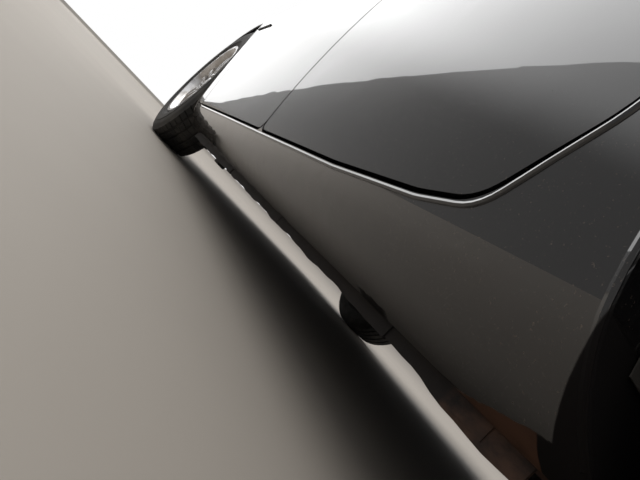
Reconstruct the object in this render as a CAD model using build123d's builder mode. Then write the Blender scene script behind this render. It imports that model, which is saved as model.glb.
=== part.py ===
from build123d import *
import os
from math import cos, radians, sin, tan

# Four-door sedan, millimetres. The origin is on the ground at the middle of the
# overall length, +Z is up, the nose points along -Y and the car's left is +X.

# Overall layout
nose_y = -2350.0
tail_y = 2350.0
front_axle_y = -1435.0
rear_axle_y = 1235.0
roof_top = 1460.0
gap = 6.0
seam = 3.0
seat_gap = 0.3

# Flank of the lower body
sill_edge_height = 232.0
sill_edge_inset = 33.0
sill_lip_height = 132.0
sill_foot = 135.0
sill_lip_inset = 138.0
shoulder_inset = 66.0
shoulder_round = 45.0

# Stations of the lower body, nose to tail:
# place along Y, half width at the waist, waist height, shoulder height, rise of the crown
stations = [
    (-2420, 560, 430, 575, 40),
    (-2200, 722, 470, 672, 60),
    (-1900, 812, 510, 775, 78),
    (-1435, 857, 540, 850, 88),
    (-900, 874, 555, 893, 84),
    (0, 896, 560, 908, 62),
    (900, 902, 565, 926, 58),
    (1500, 886, 570, 944, 60),
    (2000, 826, 570, 950, 58),
    (2420, 650, 560, 915, 45),
]

# Rounded ends: plan radius, then height and distance back of foot, tip, brow and top
nose_plan_radius = 2250.0
nose_foot = (100, 75)
nose_tip = (450, 0)
nose_brow = (690, 70)
nose_top = (900, 420)
tail_plan_radius = 2700.0
tail_foot = (100, 90)
tail_tip = (470, 0)
tail_brow = (700, 26)
tail_top = (1050, 105)

# Greenhouse plan sections: height, foremost, rearmost, half width, corner radius
greenhouse_levels = [
    (880, -1012, 1640, 815, 120),
    (1150, -592, 1222, 738, 110),
    (1480, -64, 782, 580, 90),
]
greenhouse_wall = 45.0
windscreen_bulge = 110.0
rear_window_bulge = 90.0
roof_cross_radius = 3300.0
roof_front = (-190.0, 1403.0)
roof_peak_y = 300.0
roof_rear = (900.0, 1404.0)
roof_edge_round = 38.0

# Cabin, engine bay and luggage space
cabin_half = 745.0
cabin_floor = 195.0
cabin_front_y = -770.0
cabin_rear_y = 1080.0
sill_lip_half = 724.0
sill_lip_thick = 24.0
sill_lip_top = 285.0
bulkhead = 30.0
bay_half = 440.0
bay_front_y = -2215.0
boot_half = 640.0
boot_floor = 400.0
seat_pan = 350.0
seat_riser_y = 640.0
pan_thick = 25.0
boot_rear_y = 2240.0
shelf_height = 925.0
shelf_rear_y = 1560.0
belly_height = 170.0
tunnel_half = 110.0
tunnel_top = 290.0
side_plane = 640.0
rail_plane = 480.0

# Wheels and arches
tyre_radius = 325.0
tyre_width = 205.0
wheel_centre_x = 750.0
rim_radius = 203.0
arch_radius = 366.0
arch_inner_x = 465.0
arch_wall = 25.0
spindle_radius = 15.0
running_fit = 0.05
kingpin_x = 715.0
kingpin_radius = 10.0
kingpin_half = 120.0

# Doors: their edges lean forward as they go in, so that each door swings clear
door_skew = tan(radians(20))
skew_plane_x = 1000.0
door_front_y = -930.0
pillar_gap_y = 10.0
door_foot = 232.0
fender_foot = 223.0
door_top = 1352.0
window_foot = 958.0
frame_width = 42.0
handle_z = 790.0
handle_length = 210.0
handle_height = 26.0
handle_thick = 16.0
handle_stand_off = 38.0
glass_thick = 5.0
glass_depth = 12.0
pillar_inset = 70.0
pillar_thick = 35.0
pillar_width = 100.0
pillar_mid_y = -30.0

# Lids
hood_rear_y = -955.0
hood_front_y = -2190.0
hood_rear_half = 735.0
hood_front_half = 560.0
hood_gap = 8.5
hood_thick = 30.0
lid_front_y = 1585.0
lid_half = 590.0
lid_foot = 700.0
lid_thick = 28.0

# Bumpers and fenders
front_bumper_rear_y = -1830.0
front_bumper_top = 600.0
front_bumper_foot = 185.0
rear_bumper_foot = 240.0
rear_bumper_front_y = 1630.0
rear_bumper_top = 680.0
rear_bumper_thick = 40.0
rear_bumper_core_y = 2255.0


def lower_body(inset):
    """Closed form of the body below the windows, drawn in by the inset."""
    with BuildPart() as form:
        for y, half, waist_height, shoulder, rise in stations:
            side = half - inset
            top = shoulder - inset
            lip = (side - sill_lip_inset, sill_lip_height)
            edge = (side - sill_edge_inset, sill_edge_height)
            waist = (side, waist_height)
            crest = (side - shoulder_inset, top)
            with BuildSketch(Plane(origin=(0, y, 0), x_dir=(1, 0, 0), z_dir=(0, -1, 0))):
                with BuildLine():
                    flank = TangentArc(waist, edge, tangent=(0, -1))
                    sill = TangentArc(edge, lip, tangent=flank % 1)
                    upper = TangentArc(waist, crest, tangent=(0, 1))
                    mirror([flank, sill, upper], about=Plane.YZ)
                    Line(lip, (-lip[0], lip[1]))
                    ThreePointArc(crest, (0, top + rise), (-crest[0], crest[1]))
                face = make_face()
                fillet(face.vertices().filter_by_position(Axis.Y, top - 1, top + 1), shoulder_round)
        loft()
    return form.part


def end_form(tip_y, way, plan_radius, foot, tip, brow, top):
    """Barrel that rounds the nose (way -1) or the tail (way +1)."""
    def at(row):
        return (tip_y - way * row[1], row[0])
    axis_y = tip_y - way * plan_radius
    with BuildPart() as barrel:
        with BuildSketch(Plane.YZ):
            with BuildLine():
                TangentArc(at(tip), at(foot), tangent=(0, -1))
                rising = TangentArc(at(tip), at(brow), tangent=(0, 1))
                TangentArc(at(brow), at(top), tangent=rising % 1)
                Polyline(at(top), (axis_y, top[0]), (axis_y, foot[0]), at(foot))
            make_face()
        revolve(axis=Axis((0, axis_y, 0), (0, 0, 1)), revolution_arc=360)
    return barrel.part


def end_waste(tip_y, way, barrel, foot, top):
    """Block off the end of the body, less the barrel that rounds it."""
    depth = 1000.0
    with BuildPart() as waste:
        with Locations((0, tip_y + way * (300 - depth / 2), (foot[0] + top[0]) / 2)):
            Box(2200, depth, top[0] - foot[0])
        add(barrel, mode=Mode.SUBTRACT)
    return waste.part


def roof_crown(drop):
    """Ring whose outer face is the curved roof, lowered by the drop."""
    axis_z = roof_top - roof_cross_radius
    with BuildPart() as ring:
        with BuildSketch(Plane.YZ):
            with BuildLine():
                ridge = ThreePointArc(
                    (roof_front[0], roof_front[1] - drop),
                    (roof_peak_y, roof_top - drop),
                    (roof_rear[0], roof_rear[1] - drop),
                )
                fore = ridge @ 0 - (ridge % 0) * 1300
                aft = ridge @ 1 + (ridge % 1) * 1300
                base_z = belly_height
                Line(ridge @ 0, fore)
                Line(ridge @ 1, aft)
                Polyline(fore, (fore.X, base_z), (aft.X, base_z), aft)
            make_face()
        revolve(axis=Axis((0, 0, axis_z), (0, 1, 0)), revolution_arc=360)
    return ring.part


def greenhouse(inset, low=0.0):
    """Closed form of windows and roof, drawn in by the inset, kept above a height."""
    with BuildPart() as form:
        for height, front, rear, half, corner in greenhouse_levels:
            side = half - inset
            front_y = front + inset * 1.6
            rear_y = rear - inset * 1.6
            fore = (side - 45, front_y + windscreen_bulge)
            aft = (side - 62, rear_y - rear_window_bulge)
            with BuildSketch(Plane.XY.offset(height)) as section:
                with BuildLine():
                    flank = ThreePointArc(fore, (side, (front_y + rear_y) / 2), aft)
                    mirror(flank, about=Plane.YZ)
                    ThreePointArc((-fore[0], fore[1]), (0, front_y), fore)
                    ThreePointArc(aft, (0, rear_y), (-aft[0], aft[1]))
                make_face()
                fillet(section.vertices(), corner - inset / 2)
        loft()
        add(roof_crown(inset), mode=Mode.INTERSECT)
        if inset == 0:
            fillet(form.faces().sort_by(Axis.Z)[-1].edges(), roof_edge_round)
        if low > 0:
            split(bisect_by=Plane.XY.offset(low), keep=Keep.TOP)
    return form.part


nose_barrel = end_form(nose_y, -1, nose_plan_radius, nose_foot, nose_tip, nose_brow, nose_top)
tail_barrel = end_form(tail_y, 1, tail_plan_radius, tail_foot, tail_tip, tail_brow, tail_top)
nose_waste = end_waste(nose_y, -1, nose_barrel, nose_foot, nose_top)
tail_waste = end_waste(tail_y, 1, tail_barrel, tail_foot, tail_top)

with BuildPart() as outer:
    add(lower_body(0))
    add(nose_waste, mode=Mode.SUBTRACT)
    add(tail_waste, mode=Mode.SUBTRACT)
    with Locations((0, 0, sill_foot / 2)):
        Box(2400, 6000, sill_foot, mode=Mode.SUBTRACT)
    with Locations((0, front_bumper_rear_y - 500, front_bumper_foot / 2)):
        Box(2400, 1000, front_bumper_foot, mode=Mode.SUBTRACT)
    with Locations((0, rear_bumper_front_y + 500, rear_bumper_foot / 2)):
        Box(2400, 1000, rear_bumper_foot, mode=Mode.SUBTRACT)
    add(greenhouse(0))



def side_box(x_from, x_to, y_from, y_to, z_from, z_to):
    """Plain block between the given limits."""
    with BuildPart() as block:
        middle = ((x_from + x_to) / 2, (y_from + y_to) / 2, (z_from + z_to) / 2)
        with Locations(middle):
            Box(x_to - x_from, y_to - y_from, z_to - z_from)
    return block.part


def arch_drum(radius, inner_x):
    """Front and rear wheel drums on the left, from an inner plane outwards."""
    with BuildPart() as drums:
        for axle_y in (front_axle_y, rear_axle_y):
            with BuildSketch(Plane.YZ.offset(inner_x)):
                with Locations((axle_y, tyre_radius)):
                    Circle(radius)
            extrude(amount=1000 - inner_x)
    return drums.part


def skin_x(height):
    """Half width of the outer skin at a height, read roughly off the flank."""
    low, high = 905.0, 1390.0
    if height <= low:
        return 885.0
    return 806.0 - (height - low) / (high - low) * 192.0


def door_outline_points(corners):
    """Corner points moved back by what the lean takes off them at the skin."""
    return [(y + door_skew * (skew_plane_x - skin_x(z)), z) for y, z in corners]


def leaning_prism(corners, rounds, margin):
    """Prism through the left side from an outline seen on the skin, grown by a margin."""
    with BuildPart() as prism:
        with BuildSketch(Plane.YZ.offset(skew_plane_x)):
            with BuildLine():
                FilletPolyline(*door_outline_points(corners), radius=rounds, close=True)
            make_face()
            if margin != 0:
                offset(amount=margin)
        extrude(amount=skew_plane_x - 300, dir=(-1, -door_skew, 0))
    return prism.part


# Door and window outlines on the skin, as (place along Y, height), with corner rounds
front_door_corners = [
    (door_front_y, fender_foot),
    (pillar_gap_y - gap / 2, door_foot),
    (pillar_gap_y - gap / 2, door_top),
    (-80, door_top),
    (-715, window_foot - 28),
    (door_front_y, 830),
]
front_door_rounds = [12, 28, 8, 60, 40, 30]
rear_door_corners = [
    (pillar_gap_y + gap / 2, door_foot),
    (430, door_foot + 6),
    (640, door_foot + 17),
    (722, 262),
    (790, 372),
    (822, 560),
    (905, 700),
    (1105, 905),
    (1105, 975),
    (800, door_top),
    (pillar_gap_y + gap / 2, door_top),
]
rear_door_rounds = [20, 400, 200, 58, 150, 200, 200, 60, 40, 70, 8]
front_window_corners = [
    (-610, window_foot),
    (pillar_gap_y - frame_width, window_foot),
    (pillar_gap_y - frame_width, door_top - frame_width),
    (-98, door_top - frame_width),
]
front_window_rounds = [14, 14, 10, 50]
rear_window_corners = [
    (pillar_gap_y + frame_width, window_foot),
    (1000, window_foot),
    (1030, 985),
    (775, door_top - frame_width),
    (pillar_gap_y + frame_width, door_top - frame_width),
]
rear_window_rounds = [14, 14, 20, 60, 10]



def plan_prism(corners, front_mid_y, margin):
    """Upright prism from half a plan outline whose front edge is an arc."""
    with BuildPart() as prism:
        with BuildSketch(Plane.XY):
            with BuildLine():
                rear = corners[0]
                front = corners[-1]
                Polyline((0, rear[1]), *corners)
                ThreePointArc(front, (0, front_mid_y), (-front[0], front[1]))
                Polyline(*[(-x, y) for x, y in reversed(corners)], (0, rear[1]))
            make_face()
            if margin > 0:
                offset(amount=margin)
        extrude(amount=1600)
    return prism.part


def front_prism(corners, y_from, y_to, margin=0.0):
    """Prism along Y from an outline seen from the front, on the left side."""
    with BuildPart() as prism:
        with BuildSketch(Plane(origin=(0, y_to, 0), x_dir=(1, 0, 0), z_dir=(0, -1, 0))):
            Polygon(*corners, align=None)
            if margin != 0:
                offset(amount=margin, kind=Kind.INTERSECTION)
        extrude(amount=y_to - y_from)
    return prism.part


firewall_y = cabin_front_y - bulkhead - 5
rear_floor_y = cabin_rear_y - 5

# Hollow of the cabin, the engine bay and the luggage space, left half of each
inner_house = greenhouse(greenhouse_wall, shelf_height)
under_hood = lower_body(hood_thick)
under_lid = lower_body(lid_thick)
wheel_house = arch_drum(arch_radius + arch_wall, arch_inner_x - arch_wall)
wheel_well = arch_drum(arch_radius, arch_inner_x)

with BuildPart() as cabin:
    add(side_box(-1, cabin_half, cabin_front_y, cabin_rear_y, sill_lip_top, shelf_height + 1))
    add(side_box(-1, sill_lip_half - sill_lip_thick, cabin_front_y, cabin_rear_y, cabin_floor, sill_lip_top + 1))
    add(inner_house)
    add(side_box(-2, 760, seat_riser_y, cabin_rear_y + 1, 0, seat_pan), mode=Mode.SUBTRACT)
    add(side_box(-2, tunnel_half, cabin_front_y - 1, seat_riser_y + 1, 0, tunnel_top), mode=Mode.SUBTRACT)
    add(wheel_house, mode=Mode.SUBTRACT)

with BuildPart() as engine_bay:
    add(side_box(-1, side_plane, bay_front_y, cabin_front_y - bulkhead, 0, 1000))
    add(under_hood, mode=Mode.INTERSECT)
    add(wheel_house, mode=Mode.SUBTRACT)

with BuildPart() as boot:
    add(side_box(-1, boot_half, cabin_rear_y + bulkhead, boot_rear_y, boot_floor, 1100))
    add(under_lid, mode=Mode.INTERSECT)
    shelf_low = shelf_height - bulkhead
    add(side_box(-2, 700, 0, shelf_rear_y, shelf_low, 1200), mode=Mode.SUBTRACT)
    add(wheel_house, mode=Mode.SUBTRACT)

with BuildPart() as belly:
    floor_low = cabin_floor - pan_thick
    add(side_box(-1, side_plane, cabin_front_y - bulkhead, seat_riser_y, 0, floor_low))
    add(side_box(-1, side_plane, seat_riser_y - 1, cabin_rear_y, 0, floor_low))
    tunnel_inner = tunnel_half - pan_thick
    add(side_box(-1, tunnel_inner, firewall_y, seat_riser_y + pan_thick + 1, 0, tunnel_top - pan_thick))
    add(side_box(-1, 560, seat_riser_y + pan_thick, cabin_rear_y + 1, 0, seat_pan - pan_thick))
    add(side_box(-1, 560, cabin_rear_y, boot_rear_y - 90, 0, boot_floor - pan_thick))
    add(side_box(-1, side_plane, bay_front_y + 60, cabin_front_y - bulkhead + 1, 0, floor_low))
    for axle_y in (front_axle_y, rear_axle_y):
        add(side_box(0, arch_inner_x + 1, axle_y - 190, axle_y + 190, 0, tyre_radius + 45))

# Left half of the whole body, hollow, with its arches cut
with BuildPart() as half_body:
    add(outer.part)
    split(bisect_by=Plane.YZ, keep=Keep.TOP)
    add(cabin.part, mode=Mode.SUBTRACT)
    add(engine_bay.part, mode=Mode.SUBTRACT)
    add(boot.part, mode=Mode.SUBTRACT)
    add(belly.part, mode=Mode.SUBTRACT)
    add(wheel_well, mode=Mode.SUBTRACT)


# Spaces that the moving panels take out of the body, each panel grown by the gap
front_door_prism = leaning_prism(front_door_corners, front_door_rounds, 0)
rear_door_prism = leaning_prism(rear_door_corners, rear_door_rounds, 0)
front_window_prism = leaning_prism(front_window_corners, front_window_rounds, 0)
rear_window_prism = leaning_prism(rear_window_corners, rear_window_rounds, 0)
inner_low_block = side_box(-5, sill_lip_half, -1200, 1300, 0, shelf_height)
inner_door_block = side_box(-5, cabin_half, -1200, 1300, 0, shelf_height)
frame_depth = 60.0
inner_high_corners = [
    (-5, shelf_height - 1),
    (skin_x(shelf_height) - frame_depth, shelf_height - 1),
    (skin_x(1400) - frame_depth, 1400),
    (-5, 1400),
]
inner_high_block = front_prism(inner_high_corners, -1200, 1300)

hood_corners = [
    (hood_rear_half, hood_rear_y),
    (hood_rear_half, hood_rear_y - 180),
    (hood_front_half + 70, -1800),
    (hood_front_half, hood_front_y + 40),
]
hood_front_mid = hood_front_y - 45
lid_block = side_box(-1, lid_half, lid_front_y, tail_y + 20, lid_foot, 1100)
lid_space = side_box(-1, lid_half + gap, lid_front_y - gap, tail_y + 20, lid_foot - gap, 1100)

headlamp_corners = [(395, 622), (640, 640), (900, 690), (900, 790), (640, 730), (395, 694)]
headlamp_rear_y = -1985.0
tail_lamp_corners = [(lid_half + gap + seam, 712), (940, 730), (940, 880), (lid_half + gap + seam, 862)]
tail_lamp_front_y = 2075.0
grille_half = 388.0
grille_low = front_bumper_top + seat_gap
grille_high = 674.0
grille_corners = [
    (-grille_half, grille_low),
    (grille_half, grille_low),
    (grille_half, grille_high),
    (-grille_half, grille_high),
]
lower_grille_corners = [(-430, 215), (430, 215), (400, 325), (-400, 325)]

headlamp_prism = front_prism(headlamp_corners, nose_y - 50, headlamp_rear_y)
headlamp_space = front_prism(headlamp_corners, nose_y - 50, headlamp_rear_y + seat_gap, seam)
headlamp_clear = front_prism(headlamp_corners, nose_y - 50, headlamp_rear_y + gap, gap)
tail_lamp_prism = front_prism(tail_lamp_corners, tail_lamp_front_y, tail_y + 50)
tail_lamp_space = front_prism(tail_lamp_corners, tail_lamp_front_y - seat_gap, tail_y + 50, seam)
grille_prism = front_prism(grille_corners, nose_y - 50, bay_front_y)
grille_space = side_box(
    -grille_half - seam, grille_half + seam,
    nose_y - 50, bay_front_y + seam,
    front_bumper_top, grille_high + seam,
)
grille_clear = front_prism(grille_corners, nose_y - 50, bay_front_y + gap, gap)
lower_grille_prism = front_prism(lower_grille_corners, nose_y - 50, bay_front_y)

far_side = 900.0
far_end = 2500.0
hood_foot = 600.0
with BuildPart() as hood_half:
    add(outer.part)
    add(plan_prism(hood_corners, hood_front_mid, 0), mode=Mode.INTERSECT)
    add(under_hood, mode=Mode.SUBTRACT)
    add(greenhouse(0), mode=Mode.SUBTRACT)
    add(side_box(-far_side, far_side, -far_end, -far_side, 0, hood_foot), mode=Mode.SUBTRACT)
    add(headlamp_clear, mode=Mode.SUBTRACT)
    mirror(headlamp_clear, about=Plane.YZ, mode=Mode.SUBTRACT)
    add(grille_clear, mode=Mode.SUBTRACT)

with BuildPart() as hood_space:
    add(plan_prism(hood_corners, hood_front_mid, hood_gap))
    add(lower_body(hood_thick + gap), mode=Mode.SUBTRACT)
    add(side_box(-far_side, far_side, -far_end, -far_side, 0, hood_foot - gap), mode=Mode.SUBTRACT)

with BuildPart() as front_door_space:
    add(leaning_prism(front_door_corners, front_door_rounds, gap))
    add(inner_low_block, mode=Mode.SUBTRACT)
    add(inner_high_block, mode=Mode.SUBTRACT)

with BuildPart() as rear_door_space:
    add(leaning_prism(rear_door_corners, rear_door_rounds, gap))
    add(inner_low_block, mode=Mode.SUBTRACT)
    add(inner_high_block, mode=Mode.SUBTRACT)

def handle(middle_y):
    """Pull handle on the left doors: a bow that stands off the skin, open behind its middle."""
    with BuildPart() as bow:
        with BuildSketch(Plane.YZ.offset(side_plane)):
            with Locations((middle_y, handle_z)):
                RectangleRounded(handle_length, handle_height, handle_height / 2 - 1)
        extrude(amount=skew_plane_x - side_plane)
        add(lower_body(-handle_stand_off), mode=Mode.INTERSECT)
        add(lower_body(handle_thick - handle_stand_off), mode=Mode.SUBTRACT)
    with BuildPart() as feet:
        for way in (-1, 1):
            foot_y = middle_y + way * (handle_length / 2 - handle_height)
            foot_half = handle_height / 2 - 3
            add(side_box(
                side_plane, skew_plane_x, foot_y - foot_half, foot_y + foot_half,
                handle_z - foot_half, handle_z + foot_half,
            ))
        add(lower_body(handle_thick / 2 - handle_stand_off), mode=Mode.INTERSECT)
        add(lower_body(seam), mode=Mode.SUBTRACT)
    with BuildPart() as piece:
        add(bow.part)
        add(feet.part)
    return piece.part


# Doors without their windows
with BuildPart() as left_front_door:
    add(half_body.part)
    add(front_door_prism, mode=Mode.INTERSECT)
    add(inner_door_block, mode=Mode.SUBTRACT)
    add(inner_high_block, mode=Mode.SUBTRACT)
    add(front_window_prism, mode=Mode.SUBTRACT)
    add(handle(-175))

with BuildPart() as left_rear_door:
    add(half_body.part)
    add(rear_door_prism, mode=Mode.INTERSECT)
    add(inner_door_block, mode=Mode.SUBTRACT)
    add(inner_high_block, mode=Mode.SUBTRACT)
    add(rear_window_prism, mode=Mode.SUBTRACT)
    add(handle(770))

# The half body that is left once every moving panel and lamp is out
with BuildPart() as half_frame:
    add(half_body.part)
    add(front_door_space.part, mode=Mode.SUBTRACT)
    add(rear_door_space.part, mode=Mode.SUBTRACT)
    add(hood_space.part, mode=Mode.SUBTRACT)
    add(lid_space, mode=Mode.SUBTRACT)
    add(headlamp_space, mode=Mode.SUBTRACT)
    add(tail_lamp_space, mode=Mode.SUBTRACT)
    add(grille_space, mode=Mode.SUBTRACT)
    add(lower_grille_prism, mode=Mode.SUBTRACT)


# Cutters for the windscreen and rear window openings, seen from the front and from behind
windscreen_corners = [(0, 985), (668, 985), (505, 1362), (0, 1362)]
windscreen_prism = front_prism(windscreen_corners, -1100, 150)
back_window_corners = [(0, 1040), (640, 1040), (500, 1352), (0, 1352)]
back_window_prism = front_prism(back_window_corners, 800, 1600)

with BuildPart() as half_open:
    add(half_frame.part)
    add(windscreen_prism, mode=Mode.SUBTRACT)
    add(back_window_prism, mode=Mode.SUBTRACT)

# Glass shells that fill the openings, held a little inside the outer skin
glass_outer = greenhouse(glass_depth)
with BuildPart() as glass_shell:
    add(glass_outer)
    add(greenhouse(glass_depth + glass_thick), mode=Mode.SUBTRACT)
    split(bisect_by=Plane.YZ, keep=Keep.TOP)


def pane(corners, rounds):
    """Door glass that fills its window with a thin bedding gap."""
    with BuildPart() as glass:
        add(glass_shell.part)
        add(leaning_prism(corners, rounds, -seat_gap), mode=Mode.INTERSECT)
        add(side_box(-5, rail_plane, -1200, 1300, 0, roof_top), mode=Mode.SUBTRACT)
    return glass.part


def screen(corners, y_from, y_to):
    """Windscreen or rear window, both halves, that fills its opening."""
    low = corners[0][1] + seat_gap
    high = corners[2][1] - seat_gap
    shrunk = [(0, low), (corners[1][0] - 2 * seat_gap, low), (corners[2][0] - 2 * seat_gap, high), (0, high)]
    with BuildPart() as glass:
        add(glass_shell.part)
        add(front_prism(shrunk, y_from, y_to), mode=Mode.INTERSECT)
        mirror(about=Plane.YZ)
    return glass.part


def split_off(source, keep_blocks, drop_blocks=()):
    """Piece of a source that lies in any of the kept blocks and in none of the dropped ones."""
    with BuildPart() as kept:
        for block in keep_blocks:
            add(block)
    with BuildPart() as piece:
        add(source)
        add(kept.part, mode=Mode.INTERSECT)
        for block in drop_blocks:
            add(block, mode=Mode.SUBTRACT)
    return piece.part


# Regions of the fixed panels, left half
far = 3000.0
fender_zone = [
    side_box(side_plane, far, -far, -700, fender_foot, far),
    side_box(arch_inner_x + 80, far, -far, front_bumper_rear_y + seam, front_bumper_top + seam, far),
]
front_bumper_zone = [side_box(-5, far, -far, front_bumper_rear_y, 0, front_bumper_top)]


def rear_cover(inset, margin):
    """Shell at the tail that the rear bumper fills, grown by a margin."""
    with BuildPart() as core:
        add(lower_body(inset + margin))
        add(side_box(-far, far, -far, rear_bumper_core_y - margin, 0, far), mode=Mode.INTERSECT)
    with BuildPart() as cover:
        add(side_box(-5, far, rear_bumper_front_y - margin, far, 0, rear_bumper_top + margin))
        add(core.part, mode=Mode.SUBTRACT)
    return cover.part


rear_bumper_zone = [rear_cover(rear_bumper_thick, 0)]
roof_zone = [side_box(-5, rail_plane, -far, far, 1200, far)]
side_zone = [
    side_box(side_plane, far, -1200, far, 0, far),
    side_box(rail_plane, far, -950, far, shelf_height, far),
]
front_bumper_clear = side_box(-5, far, -far, front_bumper_rear_y + seam, 0, front_bumper_top + seam)
rear_bumper_clear = rear_cover(rear_bumper_thick, seam)
fender_clear = side_box(side_plane, far, -far, -700 + seam, fender_foot - seam, far)


half_fender = split_off(half_open.part, fender_zone, [front_bumper_clear])
half_front_bumper = split_off(half_open.part, front_bumper_zone)
half_rear_bumper = split_off(half_open.part, rear_bumper_zone)
half_roof = split_off(half_open.part, roof_zone)
half_side = split_off(half_open.part, side_zone, [fender_clear, rear_bumper_clear, roof_zone[0]])

# Middle of the body between the side panels: nose structure, floor and tail structure

def largest(part):
    """The largest solid of a part, without the crumbs beside it."""
    return part.solids().sort_by(SortBy.VOLUME)[-1]


def both_sides(half):
    """Middle piece from its left half."""
    with BuildPart() as whole:
        add(half)
        mirror(about=Plane.YZ)
    return whole.part


def write(part, name):
    """Label a finished piece and write it out."""
    part.label = name
    export_step(part, f"parts/{name}.step")


def write_pair(part, name):
    """Write a left piece and its mirror image on the right."""
    write(part, f"left_{name}")
    with BuildPart() as other:
        add(part)
        mirror(about=Plane.YZ, mode=Mode.REPLACE)
    write(other.part, f"right_{name}")


os.makedirs("parts", exist_ok=True)

cowl_rear_y = -700.0
cowl_low = 886.0
core_zone = side_box(-5, side_plane, -far, far, 0, 1200)
core_drops = [
    front_bumper_clear,
    rear_bumper_clear,
    side_box(rail_plane, far, -950, far, shelf_height, far),
    side_box(-5, far, -far, front_bumper_rear_y + seam, front_bumper_top, far),
]
half_core = split_off(half_open.part, [core_zone], core_drops)
cowl_zone = side_box(-5, far, -far, cowl_rear_y, cowl_low, far)
half_cowl = largest(split_off(half_core, [cowl_zone]))
half_wheel_house = largest(split_off(half_core, [side_box(-5, far, -far, firewall_y, 0, far)], [cowl_zone]))
half_floor = largest(split_off(half_core, [side_box(-5, far, firewall_y, rear_floor_y, 0, far)], [cowl_zone]))
half_tail_frame = largest(split_off(half_core, [side_box(-5, far, rear_floor_y, far, 0, far)]))

# Nose structure: wheel houses joined by two rails and a cross member
rail_low = 335.0
rail_high = 405.0
rail_inner_x = 392.0
cross_front_y = bay_front_y + seat_gap
cross_depth = 55.0
buffer_x = 560.0
buffer_y = -1500.0
buffer_foot = 705.0
buffer_half = 20.0
upright_low = 200.0
upright_high = 560.0
tie_low = 540.0
tie_high = 580.0
with BuildPart() as hood_buffer:
    add(
        side_box(
            buffer_x - buffer_half, buffer_x + buffer_half,
            buffer_y - buffer_half, buffer_y + buffer_half, buffer_foot, 1000,
        )
    )
    add(lower_body(hood_thick + seat_gap), mode=Mode.INTERSECT)
with BuildPart() as nose_frame:
    add(half_wheel_house)
    add(hood_buffer.part)
    add(side_box(rail_inner_x, bay_half + 5, cross_front_y, firewall_y, rail_low, rail_high))
    add(side_box(-1, bay_half + 5, cross_front_y, cross_front_y + cross_depth, rail_low, rail_high))
    add(side_box(rail_inner_x, bay_half + 5, cross_front_y, cross_front_y + cross_depth, upright_low, upright_high))
    add(side_box(-1, bay_half + 5, cross_front_y, cross_front_y + cross_depth, tie_low, tie_high))
    mirror(about=Plane.YZ)

write_pair(largest(left_front_door.part), "front_door")
write_pair(largest(left_rear_door.part), "rear_door")
write_pair(pane(front_window_corners, front_window_rounds), "front_door_glass")
write_pair(pane(rear_window_corners, rear_window_rounds), "rear_door_glass")
write_pair(largest(half_fender), "front_fender")

# Centre pillar, inboard of the doors' leaning edges, joined to the sill lip and the roof rail
pillar_front_y = pillar_mid_y - pillar_width / 2
pillar_rear_y = pillar_mid_y + pillar_width / 2
pillar_foot_x = sill_lip_half - pillar_thick
pillar_head_low = door_top + gap
pillar_head_high = pillar_head_low + 22
with BuildPart() as pillar_shell:
    add(greenhouse(pillar_inset))
    add(side_box(rail_plane, far, pillar_front_y, pillar_rear_y, shelf_height, far), mode=Mode.INTERSECT)
    add(greenhouse(pillar_inset + pillar_thick), mode=Mode.SUBTRACT)
with BuildPart() as left_side:
    add(largest(half_side))
    add(side_box(pillar_foot_x, sill_lip_half, pillar_front_y, pillar_rear_y, cabin_floor, window_foot))
    add(pillar_shell.part)
    add(side_box(530, 600, pillar_front_y, pillar_rear_y, pillar_head_low, pillar_head_high))
write_pair(largest(left_side.part), "body_side")

# Bumpers with a threaded socket each for a towing eye
tow_x = 480.0
tow_z = 430.0
tow_radius = 8.0
tow_pocket_radius = 24.0
front_tow_y = -2262.0
rear_tow_y = 2288.0


def tow_socket(bumper, face_y, end_y):
    """Bumper with a round pocket down to a face, then a threaded bore to its end."""
    way = 1 if end_y > face_y else -1
    with BuildPart() as piece:
        add(bumper)
        with BuildSketch(Plane(origin=(tow_x, face_y, tow_z), z_dir=(0, -way, 0))):
            Circle(tow_pocket_radius)
        extrude(amount=200, mode=Mode.SUBTRACT)
        with BuildSketch(Plane(origin=(tow_x, face_y, tow_z), z_dir=(0, way, 0))):
            Circle(tow_radius)
        extrude(amount=abs(end_y - face_y), mode=Mode.SUBTRACT)
    return piece.part


front_bumper = both_sides(largest(half_front_bumper))
rear_bumper = both_sides(largest(half_rear_bumper))
write(tow_socket(front_bumper, front_tow_y, bay_front_y + 1), "front_bumper")
write(tow_socket(rear_bumper, rear_tow_y, rear_bumper_core_y - 1), "rear_bumper")
write(both_sides(largest(half_roof)), "roof_panel")
write(both_sides(half_cowl), "cowl_panel")
write(both_sides(half_floor), "floor_pan")

# Ledge under the front edge of the trunk lid, and the pad that the rear bumper rests on
ledge_overlap = 20.0
pad_half = 380.0
pad_low = 430.0
pad_high = 560.0
with BuildPart() as lid_ledge:
    add(
        side_box(
            -rail_plane, rail_plane, shelf_rear_y - ledge_overlap, lid_front_y + ledge_overlap, shelf_low, 1100,
        )
    )
    add(lower_body(lid_thick + seat_gap), mode=Mode.INTERSECT)
with BuildPart() as tail_frame:
    add(both_sides(half_tail_frame))
    add(lid_ledge.part)
    add(side_box(-pad_half, pad_half, boot_rear_y - 2, rear_bumper_core_y - seat_gap, pad_low, pad_high))
write(tail_frame.part, "tail_frame")
write(nose_frame.part, "nose_frame")
write(largest(hood_half.part), "hood")
write(screen(windscreen_corners, -1100, 150), "windscreen")
write(screen(back_window_corners, 800, 1600), "rear_window")

with BuildPart() as trunk_lid:
    add(half_body.part)
    add(lid_block, mode=Mode.INTERSECT)
write(both_sides(largest(trunk_lid.part)), "trunk_lid")

with BuildPart() as headlamps:
    add(outer.part)
    add(headlamp_prism, mode=Mode.INTERSECT)
    mirror(about=Plane.YZ)
write(headlamps.part, "headlamps")

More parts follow.
